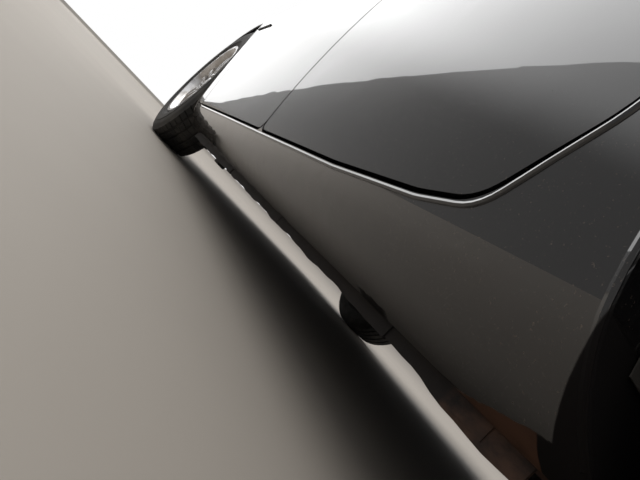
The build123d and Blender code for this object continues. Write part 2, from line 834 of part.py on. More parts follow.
with BuildPart() as tail_lamps:
    add(outer.part)
    add(tail_lamp_prism, mode=Mode.INTERSECT)
    mirror(about=Plane.YZ)
write(tail_lamps.part, "tail_lamps")

# Grille: a frame with slats in the nose and slats in the lower opening
slat_pitch = 16.0
slat_thick = 7.0
slot_count = 4
frame_wide = 18.0
low_slat_pitch = 32.0
low_slat_deep = 12.0
low_slat_thick = 14.0
with BuildPart() as grille:
    add(outer.part)
    add(grille_prism, mode=Mode.INTERSECT)
    with Locations([(0, nose_y, grille_low + slat_pitch * (i + 0.8)) for i in range(slot_count)]):
        Box(2 * (grille_half - frame_wide), 500, slat_pitch - slat_thick, mode=Mode.SUBTRACT)
lower_height = (lower_grille_corners[2][1] + lower_grille_corners[0][1]) / 2
with BuildPart() as lower_slats:
    with Locations([(0, bay_front_y - 30, lower_height + i * low_slat_pitch) for i in (-1, 0, 1)]):
        Box(1000, low_slat_deep, low_slat_thick)
    add(front_prism(lower_grille_corners, nose_y - 50, bay_front_y, -seat_gap), mode=Mode.INTERSECT)
with BuildPart() as both_grilles:
    add(grille.part)
    add(lower_slats.part)
write(both_grilles.part, "radiator_grille")


def wheel_plane(axle_y):
    """Plane through a left wheel's middle, its normal along the axle, outwards."""
    return Plane(origin=(wheel_centre_x, axle_y, tyre_radius), x_dir=(0, 1, 0), z_dir=(1, 0, 0))


# Tyre section, half width and radius of its points
bead_half = 88.0
tyre_foot_half = 79.0
tread_half = 90.0
shoulder_radius = 318.0
bulge_half = tyre_width / 2
bulge_radius = 262.0
barrel_thick = 14.0
hub_radius = 64.0
hub_face = 45.0
spoke_depth = 26.0
spoke_wide = 30.0
spoke_count = 5
disc_radius = 140.0
disc_thick = 22.0
bore_end = 58.0
spindle_root = -10.0


def tyre(axle_y):
    """Left tyre of an axle."""
    with BuildPart() as ring:
        section = Plane(origin=(wheel_centre_x, axle_y, tyre_radius), x_dir=(1, 0, 0), z_dir=(0, -1, 0))
        with BuildSketch(section):
            with BuildLine():
                low = rim_radius + seat_gap
                ThreePointArc((tyre_foot_half, low), (bulge_half, bulge_radius), (tread_half, shoulder_radius))
                ThreePointArc((tread_half, shoulder_radius), (0, tyre_radius), (-tread_half, shoulder_radius))
                ThreePointArc((-tread_half, shoulder_radius), (-bulge_half, bulge_radius), (-tyre_foot_half, low))
                Line((-tyre_foot_half, low), (tyre_foot_half, low))
            make_face()
        revolve(axis=Axis((0, axle_y, tyre_radius), (1, 0, 0)))
    return ring.part


def rim(axle_y):
    """Left wheel rim of an axle with its spokes, hub and brake disc, bored for the spindle."""
    base = wheel_plane(axle_y)
    barrel_inner = rim_radius - barrel_thick
    with BuildPart() as wheel:
        with BuildSketch(base.offset(-bead_half - 2)):
            Circle(rim_radius)
            Circle(barrel_inner, mode=Mode.SUBTRACT)
        extrude(amount=2 * bead_half + 4)
        with BuildSketch(base.offset(bead_half + 2)):
            Circle(rim_radius + 12)
            Circle(barrel_inner, mode=Mode.SUBTRACT)
        extrude(amount=6)
        with BuildSketch(base.offset(hub_face)):
            Circle(hub_radius)
            spoke_middle = (hub_radius + barrel_inner) / 2
            with PolarLocations(spoke_middle, spoke_count):
                with Locations((0, spoke_wide * 0.62), (0, -spoke_wide * 0.62)):
                    Rectangle(barrel_inner - hub_radius + 22, spoke_wide * 0.72)
        extrude(amount=spoke_depth)
        with BuildSketch(base.offset(hub_face + spoke_depth)):
            Circle(32)
        extrude(amount=6)
        with BuildSketch(base):
            Circle(disc_radius)
        extrude(amount=disc_thick)
        with BuildSketch(base.offset(-2)):
            Circle(72)
        extrude(amount=hub_face + 2)
        with BuildSketch(base.offset(-10)):
            Circle(spindle_radius + running_fit)
        extrude(amount=bore_end + 12, mode=Mode.SUBTRACT)
    return wheel.part


def brake_caliper(axle_y, way):
    """Clamp around the disc's edge, ahead of (-1) or behind (+1) the axle."""
    base = wheel_plane(axle_y)
    with BuildPart() as clamp:
        with BuildSketch(base.offset(-34)):
            with Locations((way * 122, 0)):
                Rectangle(56, 92)
        extrude(amount=34 + 38)
        with BuildSketch(base.offset(-7)):
            Circle(disc_radius + 7)
        extrude(amount=disc_thick + 14, mode=Mode.SUBTRACT)
    return clamp.part


# Front uprights: they turn about upright pins held by the two arms
upright_inner_x = kingpin_x - 17
upright_outer_x = wheel_centre_x + spindle_root
pin_depth = 30.0
with BuildPart() as left_knuckle:
    add(side_box(
        upright_inner_x, upright_outer_x, front_axle_y - 26, front_axle_y + 26,
        tyre_radius - kingpin_half, tyre_radius + kingpin_half,
    ))
    add(side_box(
        upright_inner_x, wheel_centre_x - 10, front_axle_y - 125, front_axle_y,
        tyre_radius - 40, tyre_radius + 40,
    ))
    with BuildSketch(Plane.YZ.offset(upright_outer_x - 1)):
        with Locations((front_axle_y, tyre_radius)):
            Circle(spindle_radius)
    extrude(amount=bore_end - 8 - spindle_root)
    add(brake_caliper(front_axle_y, -1))
    for z_from, z_to in (
        (tyre_radius - kingpin_half, tyre_radius - kingpin_half + pin_depth),
        (tyre_radius + kingpin_half - pin_depth, tyre_radius + kingpin_half),
    ):
        with BuildSketch(Plane.XY.offset(z_from)):
            with Locations((kingpin_x, front_axle_y)):
                Circle(kingpin_radius + running_fit)
        extrude(amount=z_to - z_from, mode=Mode.SUBTRACT)


def arm(z_eye, inner_x, pin_way, wide):
    """Suspension arm on the left, from an inner end to the eye and pin at the upright."""
    with BuildPart() as link:
        with BuildSketch(Plane.XY.offset(z_eye)):
            with Locations((kingpin_x, front_axle_y)):
                Circle(24)
            Polygon((kingpin_x, front_axle_y - 22), (kingpin_x, front_axle_y + 22),
                    (inner_x, front_axle_y + wide), (inner_x, front_axle_y - wide), align=None)
        extrude(amount=arm_thick)
        pin_from = z_eye + arm_thick - 1 if pin_way > 0 else z_eye - gap - pin_depth + 5
        with BuildSketch(Plane.XY.offset(pin_from)):
            with Locations((kingpin_x, front_axle_y)):
                Circle(kingpin_radius)
        extrude(amount=gap + pin_depth - 4)
    return link.part


arm_thick = 22.0
lower_eye = tyre_radius - kingpin_half - gap - arm_thick
upper_eye = tyre_radius + kingpin_half + gap
cross_half = 400.0
cross_member_y = 62.0
with BuildPart() as front_suspension:
    add(arm(lower_eye, cross_half - 10, 1, 80))
    add(
        side_box(
            -1, cross_half, front_axle_y - cross_member_y, front_axle_y + cross_member_y,
            lower_eye, lower_eye + 50,
        )
    )
    add(
        side_box(
            rail_inner_x + 2, cross_half + 38, front_axle_y - 40, front_axle_y + 40,
            lower_eye + 20, rail_low,
        )
    )
    mirror(about=Plane.YZ)

with BuildPart() as upper_arms:
    add(arm(upper_eye, arch_inner_x + seat_gap, -1, 60))
    mirror(about=Plane.YZ)

# Rear axle: a cross tube on trailing arms and springs, with a spindle at each end
tube_radius = 30.0
tube_end_x = 696.0
trailing_x = 405.0
trailing_front_y = 900.0
trailing_half = 25.0
trailing_low = 270.0
trailing_high = 318.0
tube_end_radius = 46.0
spring_radius = 48.0
spring_y = rear_axle_y + 10
with BuildPart() as rear_axle:
    with BuildSketch(Plane.YZ.offset(-1)):
        with Locations((rear_axle_y, tyre_radius)):
            Circle(tube_radius)
    extrude(amount=tube_end_x + 1)
    with BuildSketch(Plane.YZ.offset(tube_end_x - 1)):
        with Locations((rear_axle_y, tyre_radius)):
            Circle(tube_end_radius)
    extrude(amount=upright_outer_x - tube_end_x + 1)
    with BuildSketch(Plane.YZ.offset(upright_outer_x - 1)):
        with Locations((rear_axle_y, tyre_radius)):
            Circle(spindle_radius)
    extrude(amount=bore_end - 8 - spindle_root)
    add(brake_caliper(rear_axle_y, 1))
    add(
        side_box(
            tube_end_x, wheel_centre_x - 10, rear_axle_y, rear_axle_y + 120,
            tyre_radius - tube_radius, tyre_radius + tube_radius,
        )
    )
    arm_low_x = trailing_x - trailing_half
    arm_high_x = trailing_x + trailing_half
    add(side_box(arm_low_x, arm_high_x, trailing_front_y, rear_axle_y, trailing_low, trailing_high))
    add(
        side_box(
            arm_low_x, arm_high_x, trailing_front_y, trailing_front_y + 60,
            trailing_low, seat_pan - pan_thick - seat_gap,
        )
    )
    with BuildSketch(Plane.XY.offset(tyre_radius)):
        with Locations((trailing_x - 40, spring_y)):
            Circle(spring_radius)
    extrude(amount=boot_floor - pan_thick - seat_gap - tyre_radius)
    mirror(about=Plane.YZ)

write_pair(tyre(front_axle_y), "front_tyre")
write_pair(tyre(rear_axle_y), "rear_tyre")
write_pair(rim(front_axle_y), "front_rim")
write_pair(rim(rear_axle_y), "rear_rim")
write_pair(left_knuckle.part, "knuckle")
write(front_suspension.part, "front_suspension")
write(upper_arms.part, "upper_arms")
write(rear_axle.part, "rear_axle")

# Engine, radiator, fuel tank and exhaust
engine_half = 330.0
engine_front_y = -1700.0
engine_rear_y = -1260.0
engine_low = 262.0
engine_high = 765.0
with BuildPart() as engine_block:
    add(side_box(-engine_half, engine_half, engine_front_y, engine_rear_y, engine_low, engine_high))
    mount_half = rail_inner_x - seat_gap
    add(side_box(-mount_half, mount_half, -1600, -1500, rail_low, rail_high))
write(engine_block.part, "engine_block")

radiator_half = 330.0
radiator_low = 230.0
radiator_high = 560.0
with BuildPart() as radiator:
    radiator_front_y = cross_front_y + cross_depth + seat_gap
    add(
        side_box(
            -radiator_half, radiator_half, radiator_front_y, radiator_front_y + 50,
            radiator_low, radiator_high,
        )
    )
write(radiator.part, "radiator")

with BuildPart() as fuel_tank:
    add(side_box(-5, 540, seat_riser_y + pan_thick + 20, 880, 190, seat_pan - pan_thick - seat_gap))
    fillet(fuel_tank.edges().filter_by(Axis.Y), 25)
write(fuel_tank.part, "fuel_tank")

pipe_x = -50.0
pipe_z = 215.0
pipe_radius = 26.0
tail_pipe_z = rear_bumper_foot - pipe_radius - 4
muffler_front_y = 1640.0
muffler_rear_y = 2060.0
muffler_low = 190.0
muffler_high = 340.0
muffler_left_x = -40.0
muffler_right_x = -430.0
pipe_front_y = -1180.0
tail_pipe_x = -370.0
tail_pipe_long = 245.0
with BuildPart() as exhaust:
    add(side_box(muffler_right_x, muffler_left_x, muffler_front_y, muffler_rear_y, muffler_low, muffler_high))
    fillet(exhaust.edges().filter_by(Axis.Y), 40)
    with BuildSketch(Plane(origin=(pipe_x, pipe_front_y, pipe_z), z_dir=(0, 1, 0))):
        Circle(pipe_radius)
    extrude(amount=muffler_front_y - pipe_front_y + 10)
    add(
        side_box(
            -250, -220, muffler_front_y + 150, muffler_front_y + 190,
            muffler_high - 10, boot_floor - pan_thick - seat_gap,
        )
    )
    with BuildSketch(Plane(origin=(tail_pipe_x, muffler_rear_y - 10, tail_pipe_z), z_dir=(0, 1, 0))):
        Circle(pipe_radius)
    extrude(amount=tail_pipe_long)
write(exhaust.part, "exhaust")

# Dashboard and steering wheel
column_x = 370.0
wheel_hub = (column_x, -360.0, 810.0)
column_tilt = 24.0
column_radius = 17.0
wheel_ring = 178.0
ring_radius = 14.0
with BuildPart() as dashboard:
    with BuildSketch(Plane.YZ.offset(-712)):
        Polygon((cabin_front_y + seat_gap, 600), (cabin_front_y + seat_gap, 915), (-640, 922),
                (-490, 880), (-450, 790), (-520, 640), align=None)
    extrude(amount=1424)
    column = Plane(origin=wheel_hub, z_dir=(0, -cos(radians(column_tilt)), -sin(radians(column_tilt))))
    with BuildSketch(column.offset(60)):
        Circle(column_radius + running_fit)
    extrude(amount=130, mode=Mode.SUBTRACT)
write(dashboard.part, "dashboard")

with BuildPart() as steering_wheel:
    upwards = (0, -sin(radians(column_tilt)), cos(radians(column_tilt)))
    with BuildSketch(Plane(origin=wheel_hub, x_dir=(1, 0, 0), z_dir=upwards)):
        with Locations((wheel_ring, 0)):
            Circle(ring_radius)
    revolve(axis=Axis(wheel_hub, (0, -cos(radians(column_tilt)), -sin(radians(column_tilt)))))
    with BuildSketch(column.offset(-10)):
        Circle(62)
        Rectangle(2 * wheel_ring - 4, 34)
        with Locations((0, -85)):
            Rectangle(40, 180)
    extrude(amount=20)
    with BuildSketch(column):
        Circle(column_radius)
    extrude(amount=180)
write(steering_wheel.part, "steering_wheel")

# Seats
seat_x = 370.0
with BuildPart() as front_seats:
    with BuildSketch(Plane.YZ.offset(seat_x - 245)):
        Polygon((-120, 300), (-140, 420), (350, 400), (545, 1010), (600, 1000), (640, 1020), (480, 340),
                (400, 290), align=None)
    extrude(amount=490)
    add(side_box(seat_x - 200, seat_x + 200, -60, 360, cabin_floor + seat_gap, 320))
    mirror(about=Plane.YZ)
write(front_seats.part, "front_seats")

bench_front_y = 560.0
bench_foot = seat_pan + seat_gap
bench_top = 480.0
back_half = 430.0
with BuildPart() as rear_seat:
    add(side_box(-back_half, back_half, bench_front_y, 1040, bench_foot, bench_top))
    add(side_box(-600, 600, bench_front_y, 835, bench_foot, bench_top))
    add(side_box(-back_half, back_half, 920, cabin_rear_y - seat_gap, bench_foot, 900))
write(rear_seat.part, "rear_seat")

# Door mirrors, each on an arm below the window, and the slim bars on the fenders
mirror_y = -600.0
mirror_arm_z = 940.0
mirror_arm_half = 20.0
mirror_size = (175.0, 85.0, 125.0)
with BuildPart() as left_mirror:
    with Locations((940, mirror_y, 1000)):
        Box(*mirror_size)
    fillet(left_mirror.edges(), 30)
    add(
        side_box(
            740, 900, mirror_y - mirror_arm_half, mirror_y + mirror_arm_half,
            mirror_arm_z - 10, mirror_arm_z + 14,
        )
    )
    add(outer.part, mode=Mode.SUBTRACT)
write_pair(largest(left_mirror.part), "mirror")

marker_corners = [(-1160, 604), (-985, 612), (-985, 622), (-1160, 614)]
with BuildPart() as side_markers:
    add(lower_body(-4))
    add(leaning_prism(marker_corners, [3, 3, 3, 3], 0), mode=Mode.INTERSECT)
    add(lower_body(0), mode=Mode.SUBTRACT)
    mirror(about=Plane.YZ)
write(side_markers.part, "side_markers")
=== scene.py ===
import math

import bmesh
import bpy
from mathutils import Matrix, Vector


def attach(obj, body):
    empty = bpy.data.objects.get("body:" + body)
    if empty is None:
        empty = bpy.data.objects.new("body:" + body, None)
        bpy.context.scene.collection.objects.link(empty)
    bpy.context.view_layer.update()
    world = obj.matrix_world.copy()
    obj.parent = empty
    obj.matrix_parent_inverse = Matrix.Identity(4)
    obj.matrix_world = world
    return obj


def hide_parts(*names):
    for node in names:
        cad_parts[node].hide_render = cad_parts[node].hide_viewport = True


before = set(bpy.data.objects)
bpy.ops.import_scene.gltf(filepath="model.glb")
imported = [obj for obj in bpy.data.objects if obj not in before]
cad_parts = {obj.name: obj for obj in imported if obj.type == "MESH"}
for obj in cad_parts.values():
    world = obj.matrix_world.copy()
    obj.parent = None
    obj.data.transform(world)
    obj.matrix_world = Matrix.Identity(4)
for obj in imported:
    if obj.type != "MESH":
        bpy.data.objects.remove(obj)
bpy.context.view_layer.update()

# Camera, floor and studio light.
# The camera sits low by the left rear arch and looks forward along the sill, rolled well
# over. The floor is plain and pale, and two large soft lamps hang above and ahead.
camera_place = (1.1421, 1.0861, 0.1225)
camera_turns = (92.858, -46.367, 150.419)
camera_data = bpy.data.cameras.new("camera")
camera_data.lens = 29.46
camera_data.sensor_width = 36.0
camera_data.clip_start = 0.01


def collection_add(piece):
    """Puts a new object into the scene."""
    bpy.context.scene.collection.objects.link(piece)
    return piece


camera = collection_add(bpy.data.objects.new("camera", camera_data))
camera.location = camera_place
camera.rotation_euler = [math.radians(turn) for turn in camera_turns]
bpy.context.scene.camera = camera
bpy.context.scene.view_settings.view_transform = "Standard"


def finish(name, colour, roughness, metallic=0.0, coat=0.0):
    """Starts a material, with its shader set for the plain part of the surface."""
    material = bpy.data.materials.new(name)
    material.use_nodes = True
    material.diffuse_color = (*colour, 1)
    shader = material.node_tree.nodes["Principled BSDF"]
    shader.inputs["Base Color"].default_value = (*colour, 1)
    shader.inputs["Roughness"].default_value = roughness
    shader.inputs["Metallic"].default_value = metallic
    shader.inputs["Coat Weight"].default_value = coat
    shader.inputs["Coat Roughness"].default_value = 0.03
    return material, shader


def add_node(owner, kind, **settings):
    """Adds a node to a material or the world and sets its named options."""
    node = owner.node_tree.nodes.new(kind)
    for key, value in settings.items():
        setattr(node, key, value)
    return node


def join(owner, source, target):
    """Links an output socket to an input socket."""
    owner.node_tree.links.new(source, target)


def place(material):
    """Object coordinates of the piece."""
    return add_node(material, "ShaderNodeTexCoord").outputs["Object"]


def grain(material, scale, detail=3.0, rough=0.5, stretch=(1, 1, 1)):
    """Noise over the surface, from 0 to 1, stretched along the axes."""
    mapping = add_node(material, "ShaderNodeMapping")
    mapping.inputs["Scale"].default_value = stretch
    join(material, place(material), mapping.inputs["Vector"])
    noise = add_node(material, "ShaderNodeTexNoise")
    noise.inputs["Scale"].default_value = scale
    noise.inputs["Detail"].default_value = detail
    noise.inputs["Roughness"].default_value = rough
    join(material, mapping.outputs["Vector"], noise.inputs["Vector"])
    return noise.outputs["Fac"]


def blend_colour(owner, factor, first, second):
    """Colour between two, each a plain colour or a socket."""
    node = add_node(owner, "ShaderNodeMix", data_type="RGBA")
    join(owner, factor, node.inputs["Factor"])
    for socket, value in ((node.inputs[6], first), (node.inputs[7], second)):
        if isinstance(value, tuple):
            socket.default_value = (*value, 1)
        else:
            join(owner, value, socket)
    return node.outputs[2]


def tint(material, shader, pattern, first, second):
    """Colours a surface between two tones by a pattern."""
    join(material, blend_colour(material, pattern, first, second), shader.inputs["Base Color"])


floor_tone = (0.34, 0.305, 0.265)
floor_dark = (0.32, 0.286, 0.248)
floor_light = (0.36, 0.324, 0.282)
floor_half = 40
floor_paint, floor_shader = finish("floor_paint", floor_tone, 0.7)
tint(floor_paint, floor_shader, grain(floor_paint, 2.0, 6.0), floor_dark, floor_light)
floor_bm = bmesh.new()
bmesh.ops.create_grid(floor_bm, x_segments=1, y_segments=1, size=floor_half)
floor_mesh = bpy.data.meshes.new("floor")
floor_bm.to_mesh(floor_mesh)
floor_bm.free()
floor_mesh.materials.append(floor_paint)
floor = collection_add(bpy.data.objects.new("floor", floor_mesh))


def ramp(owner, value, low, high, to_low=0.0, to_high=1.0):
    """Value between two limits, moved to two others with soft ends."""
    mapped = add_node(owner, "ShaderNodeMapRange", interpolation_type="SMOOTHSTEP")
    mapped.inputs["From Min"].default_value = low
    mapped.inputs["From Max"].default_value = high
    mapped.inputs["To Min"].default_value = to_low
    mapped.inputs["To Max"].default_value = to_high
    join(owner, value, mapped.inputs["Value"])
    return mapped.outputs["Result"]


def math_of(owner, operation, first, second):
    """Sum, product or other combination of two values."""
    node = add_node(owner, "ShaderNodeMath", operation=operation)
    for index, value in enumerate((first, second)):
        if isinstance(value, (int, float)):
            node.inputs[index].default_value = value
        else:
            join(owner, value, node.inputs[index])
    return node.outputs["Value"]


# The sky is white to the eye and dimmer as a light. A glossy surface mirrors it grey up
# to a soft low horizon, and white above.
world = bpy.data.worlds.new("studio")
world.use_nodes = True
bpy.context.scene.world = world
sky = world.node_tree.nodes["Background"]
white = (1, 1, 1)
low_grey = (0.30, 0.295, 0.29)
light_share = 0.60
horizon_foot = 0.24
horizon_top = 0.42
paths = add_node(world, "ShaderNodeLightPath")
seen = math_of(world, "MAXIMUM", paths.outputs["Is Camera Ray"], paths.outputs["Is Glossy Ray"])
seen_through = math_of(world, "MAXIMUM", seen, paths.outputs["Is Transmission Ray"])
join(world, ramp(world, seen_through, 0.0, 1.0, light_share, 1.0), sky.inputs["Strength"])
direction = add_node(world, "ShaderNodeTexCoord")
direction_parts = add_node(world, "ShaderNodeSeparateXYZ")
join(world, direction.outputs["Generated"], direction_parts.inputs["Vector"])
lift = ramp(world, direction_parts.outputs["Z"], horizon_foot, horizon_top)
mirrored = blend_colour(world, lift, low_grey, white)
join(world, blend_colour(world, paths.outputs["Is Glossy Ray"], white, mirrored), sky.inputs["Color"])


def soft_lamp(name, location, aim, size, power, roll=0.0):
    """Large area lamp that points at a place, rolled about its beam."""
    lamp = bpy.data.lights.new(name, "AREA")
    lamp.shape = "RECTANGLE"
    lamp.size = size[0]
    lamp.size_y = size[1]
    lamp.energy = power
    holder = collection_add(bpy.data.objects.new(name, lamp))
    holder.location = location
    aimed = (Vector(aim) - Vector(location)).to_track_quat("-Z", "Y").to_matrix()
    holder.rotation_euler = (aimed @ Matrix.Rotation(math.radians(roll), 3, "Z")).to_euler()


soft_lamp("lamp_above", location=(0.5, -0.5, 6.0), aim=(0, 0, 0.5), size=(6, 7), power=220)
soft_lamp(
    "lamp_left", location=(4.9, -8.8, 7.1), aim=(0.8, 0.4, 0.4), size=(18, 6), power=510, roll=42.0
)

# Body paint.
# Mirror-like black lacquer on pressed sheet steel, filmed with road dust towards
# the sill, with fine specks, as a car driven daily has. The film thins towards the
# rear, partly as painted shade on the rear of the sill.
lacquer_black = (0.006, 0.006, 0.007)
road_dust = (0.30, 0.225, 0.16)
film_fades = 0.34
film_full = 0.12
# Ends of the film's front-to-rear fade, which is partly painted shade.
dust_shade_fade_front = -0.3
dust_shade_fade_rear = 0.8
specks_fade = 0.60
specks_full = 0.20
paint, paint_shader = finish("black_lacquer", lacquer_black, 0.25, coat=1.0)
paint_shader.inputs["Coat Roughness"].default_value = 0.015
paint_shader.inputs["Coat IOR"].default_value = 1.75
paint_shader.inputs["Specular IOR Level"].default_value = 0.1
paint_split = add_node(paint, "ShaderNodeSeparateXYZ")
join(paint, place(paint), paint_split.inputs["Vector"])
along = paint_split.outputs["Y"]
height = paint_split.outputs["Z"]
low_film = ramp(paint, height, film_fades, film_full)
film_cloud = ramp(paint, grain(paint, 9.0, 6.0, 0.6), 0.25, 0.8, 0.35, 1.0)
film_streak = ramp(paint, grain(paint, 5.0, 4.0, 0.5, (1, 0.6, 5)), 0.3, 0.75, 0.55, 1.0)
film = math_of(paint, "MULTIPLY", math_of(paint, "MULTIPLY", low_film, film_cloud), film_streak)
# Painted shade: the film thins from front to rear and so darkens the rear of the sill.
film_with_rear_shade = math_of(paint, "MULTIPLY", film, ramp(paint, along, dust_shade_fade_front, dust_shade_fade_rear, 0.12, 0.045))
specks = ramp(paint, grain(paint, 420.0, 2.0, 0.5), 0.66, 0.74)
low_specks = math_of(paint, "MULTIPLY", specks, ramp(paint, height, specks_fade, specks_full, 0.0, 0.7))
faint_specks = math_of(paint, "MULTIPLY", low_specks, 0.25)
dust_and_shade = math_of(paint, "MINIMUM", math_of(paint, "ADD", film_with_rear_shade, faint_specks), 1.0)
# The colour carries the road dust and the painted shade at the rear.
dusty_shaded_black = blend_colour(paint, dust_and_shade, lacquer_black, road_dust)
dusty_roughness = ramp(paint, dust_and_shade, 0.0, 0.3, 0.22, 0.6)

# The sill's foot is rusty along a lip that widens up to the rear arch. Painted shade,
# dull black without lacquer, lies in a notch ahead of it and round the arch's front foot.
lip_front = 0.70
lip_rear = 0.90
lip_rises = 0.74
lip_low_top = 0.132
lip_high_top = 0.154
rust_rear = 0.869
# Painted shade: a dull black notch under the sill and a dull black band round the rear arch's front foot.
notch_front = 0.555
notch_rear = 0.645
notch_top = 0.138
arch_front = 0.8805
arch_rear = 0.93
arch_shade_fades = 0.25
arch_shade_full = 0.225
# Black of the painted shade patches and of the lip's dark rust.
lip_and_shade_black = (0.006, 0.005, 0.005)
rust_brown = (0.075, 0.038, 0.024)
foot_wave = math_of(paint, "MULTIPLY", grain(paint, 60.0, 4.0), 0.004)


def along_sill(first, last, soft=0.002):
    """1 between two places along the car and 0 elsewhere."""
    starts = ramp(paint, along, first, first + soft)
    ends = ramp(paint, along, last, last - soft)
    return math_of(paint, "MULTIPLY", starts, ends)


def below(top):
    """1 under a height that wavers a little and 0 above it."""
    edge = math_of(paint, "ADD", top, foot_wave)
    return ramp(paint, math_of(paint, "SUBTRACT", edge, height), -0.0005, 0.001)


lip_top = ramp(paint, along, lip_rises, arch_rear, lip_low_top, lip_high_top)
lip = math_of(paint, "MULTIPLY", below(lip_top), along_sill(lip_front, lip_rear))
# Painted shade in the notch under the sill.
notch_shade = math_of(paint, "MULTIPLY", below(notch_top), along_sill(notch_front, notch_rear, 0.02))
# Painted shade round the arch's front foot, carrying the dark of the arch opening forward.
arch_shade_height = ramp(paint, height, arch_shade_fades, arch_shade_full)
arch_foot_shade = math_of(paint, "MULTIPLY", along_sill(arch_front, arch_rear), arch_shade_height)
# The notch and arch-foot patches are painted shade and are kept free of rust.
painted_shade_patches = math_of(paint, "MAXIMUM", notch_shade, arch_foot_shade)
rust_and_shade_cover = math_of(paint, "MAXIMUM", lip, painted_shade_patches)
rust_patch = ramp(paint, grain(paint, 22.0, 6.0, 0.65, (1, 0.5, 1)), 0.3, 0.6, 0.45, 1.0)
lip_rust = math_of(paint, "MULTIPLY", rust_patch, along_sill(lip_front, rust_rear))
lip_rust = math_of(paint, "MULTIPLY", lip_rust, math_of(paint, "SUBTRACT", 1.0, painted_shade_patches))
# Dull black in the painted shade patches, and rust mixed with black along the lip.
tint(paint, paint_shader, rust_and_shade_cover, dusty_shaded_black, blend_colour(paint, lip_rust, lip_and_shade_black, rust_brown))
covered_roughness = math_of(paint, "MULTIPLY", rust_and_shade_cover, 0.85)
join(
    paint,
    math_of(paint, "MAXIMUM", dusty_roughness, covered_roughness),
    paint_shader.inputs["Roughness"],
)
# No lacquer on the rusty lip or on the painted shade, so they mirror nothing.
join(paint, math_of(paint, "SUBTRACT", 1.0, rust_and_shade_cover), paint_shader.inputs["Coat Weight"])


def dress(material, *nodes):
    """Gives carried-over solids a material."""
    for name in nodes:
        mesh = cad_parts[name].data
        mesh.materials.clear()
        mesh.materials.append(material)


dress(
    paint,
    "hood", "trunk_lid", "roof_panel",
    "left_body_side", "right_body_side",
    "left_front_door", "right_front_door",
    "left_rear_door", "right_rear_door",
    "left_front_fender", "right_front_fender",
    "front_bumper", "rear_bumper",
    "left_mirror", "right_mirror",
)

# Underbody and inner structure.
# Pressed and welded steel under a dark sprayed coat, dull, with road dust and rust
# spots.
under_black = (0.016, 0.015, 0.014)
under_rust = (0.085, 0.052, 0.034)
under, under_shader = finish("undercoat", (0.018, 0.017, 0.016), 0.85)
tint(under, under_shader, ramp(under, grain(under, 26.0, 6.0, 0.65), 0.55, 0.72), under_black, under_rust)


def roughen(material, shader, height, strength, distance):
    """Raises the surface by a height value."""
    bump = add_node(material, "ShaderNodeBump")
    bump.inputs["Strength"].default_value = strength
    bump.inputs["Distance"].default_value = distance
    join(material, height, bump.inputs["Height"])
    join(material, bump.outputs["Normal"], shader.inputs["Normal"])


roughen(under, under_shader, grain(under, 140.0, 4.0), 0.35, 0.002)
dress(under, "floor_pan", "nose_frame", "tail_frame", "front_suspension", "upper_arms", "rear_axle")

# Glass.
# Curved safety glass, lightly tinted green-grey, bonded into its openings.
glass, glass_shader = finish("tinted_glass", (0.35, 0.42, 0.40), 0.02)
glass_shader.inputs["Transmission Weight"].default_value = 0.9
glass_shader.inputs["IOR"].default_value = 1.45


def uneven_gloss(material, shader, pattern, smooth, rough, full=0.8):
    """Spreads the roughness between two values over a surface, by a pattern."""
    join(material, ramp(material, pattern, 0.3, full, smooth, rough), shader.inputs["Roughness"])


uneven_gloss(glass, glass_shader, grain(glass, 7.0, 5.0), 0.015, 0.07)
dress(
    glass,
    "windscreen", "rear_window",
    "left_front_door_glass", "right_front_door_glass",
    "left_rear_door_glass", "right_rear_door_glass",
)

# Dashboard, cowl and other black plastic.
# Moulded plastic with a fine leather grain, slightly greyed by dust, held by screws
# and clips.
plastic_black = (0.016, 0.016, 0.017)
plastic_grey = (0.030, 0.030, 0.031)
plastic, plastic_shader = finish("grained_plastic", (0.020, 0.020, 0.021), 0.55)
tint(plastic, plastic_shader, grain(plastic, 12.0, 4.0), plastic_black, plastic_grey)
roughen(plastic, plastic_shader, grain(plastic, 900.0, 2.0), 0.25, 0.0006)
dress(plastic, "cowl_panel", "dashboard", "steering_wheel", "radiator_grille", "side_markers")

# Engine, radiator, tank and exhaust.
# Cast metal, a moulded tank and a brown-stained steel pipe, bolted or hung in place
# and dull with road dirt.
cast_grey = (0.24, 0.24, 0.23)
cast_dirt = (0.09, 0.085, 0.08)
cast, cast_shader = finish("cast_metal", (0.22, 0.22, 0.21), 0.5, metallic=0.8)
tint(cast, cast_shader, ramp(cast, grain(cast, 18.0, 5.0), 0.4, 0.7), cast_grey, cast_dirt)
roughen(cast, cast_shader, grain(cast, 260.0, 3.0), 0.2, 0.001)
dress(cast, "engine_block", "radiator", "left_knuckle", "right_knuckle")
tank, tank_shader = finish("tank_plastic", (0.018, 0.018, 0.018), 0.6)
uneven_gloss(tank, tank_shader, grain(tank, 20.0, 4.0), 0.5, 0.75, full=0.7)
dress(tank, "fuel_tank")
pipe_grey = (0.26, 0.23, 0.20)
pipe_brown = (0.14, 0.075, 0.04)
pipe, pipe_shader = finish("exhaust_steel", (0.20, 0.15, 0.11), 0.55, metallic=0.7)
tint(pipe, pipe_shader, ramp(pipe, grain(pipe, 14.0, 6.0), 0.35, 0.7), pipe_grey, pipe_brown)
dress(pipe, "exhaust")

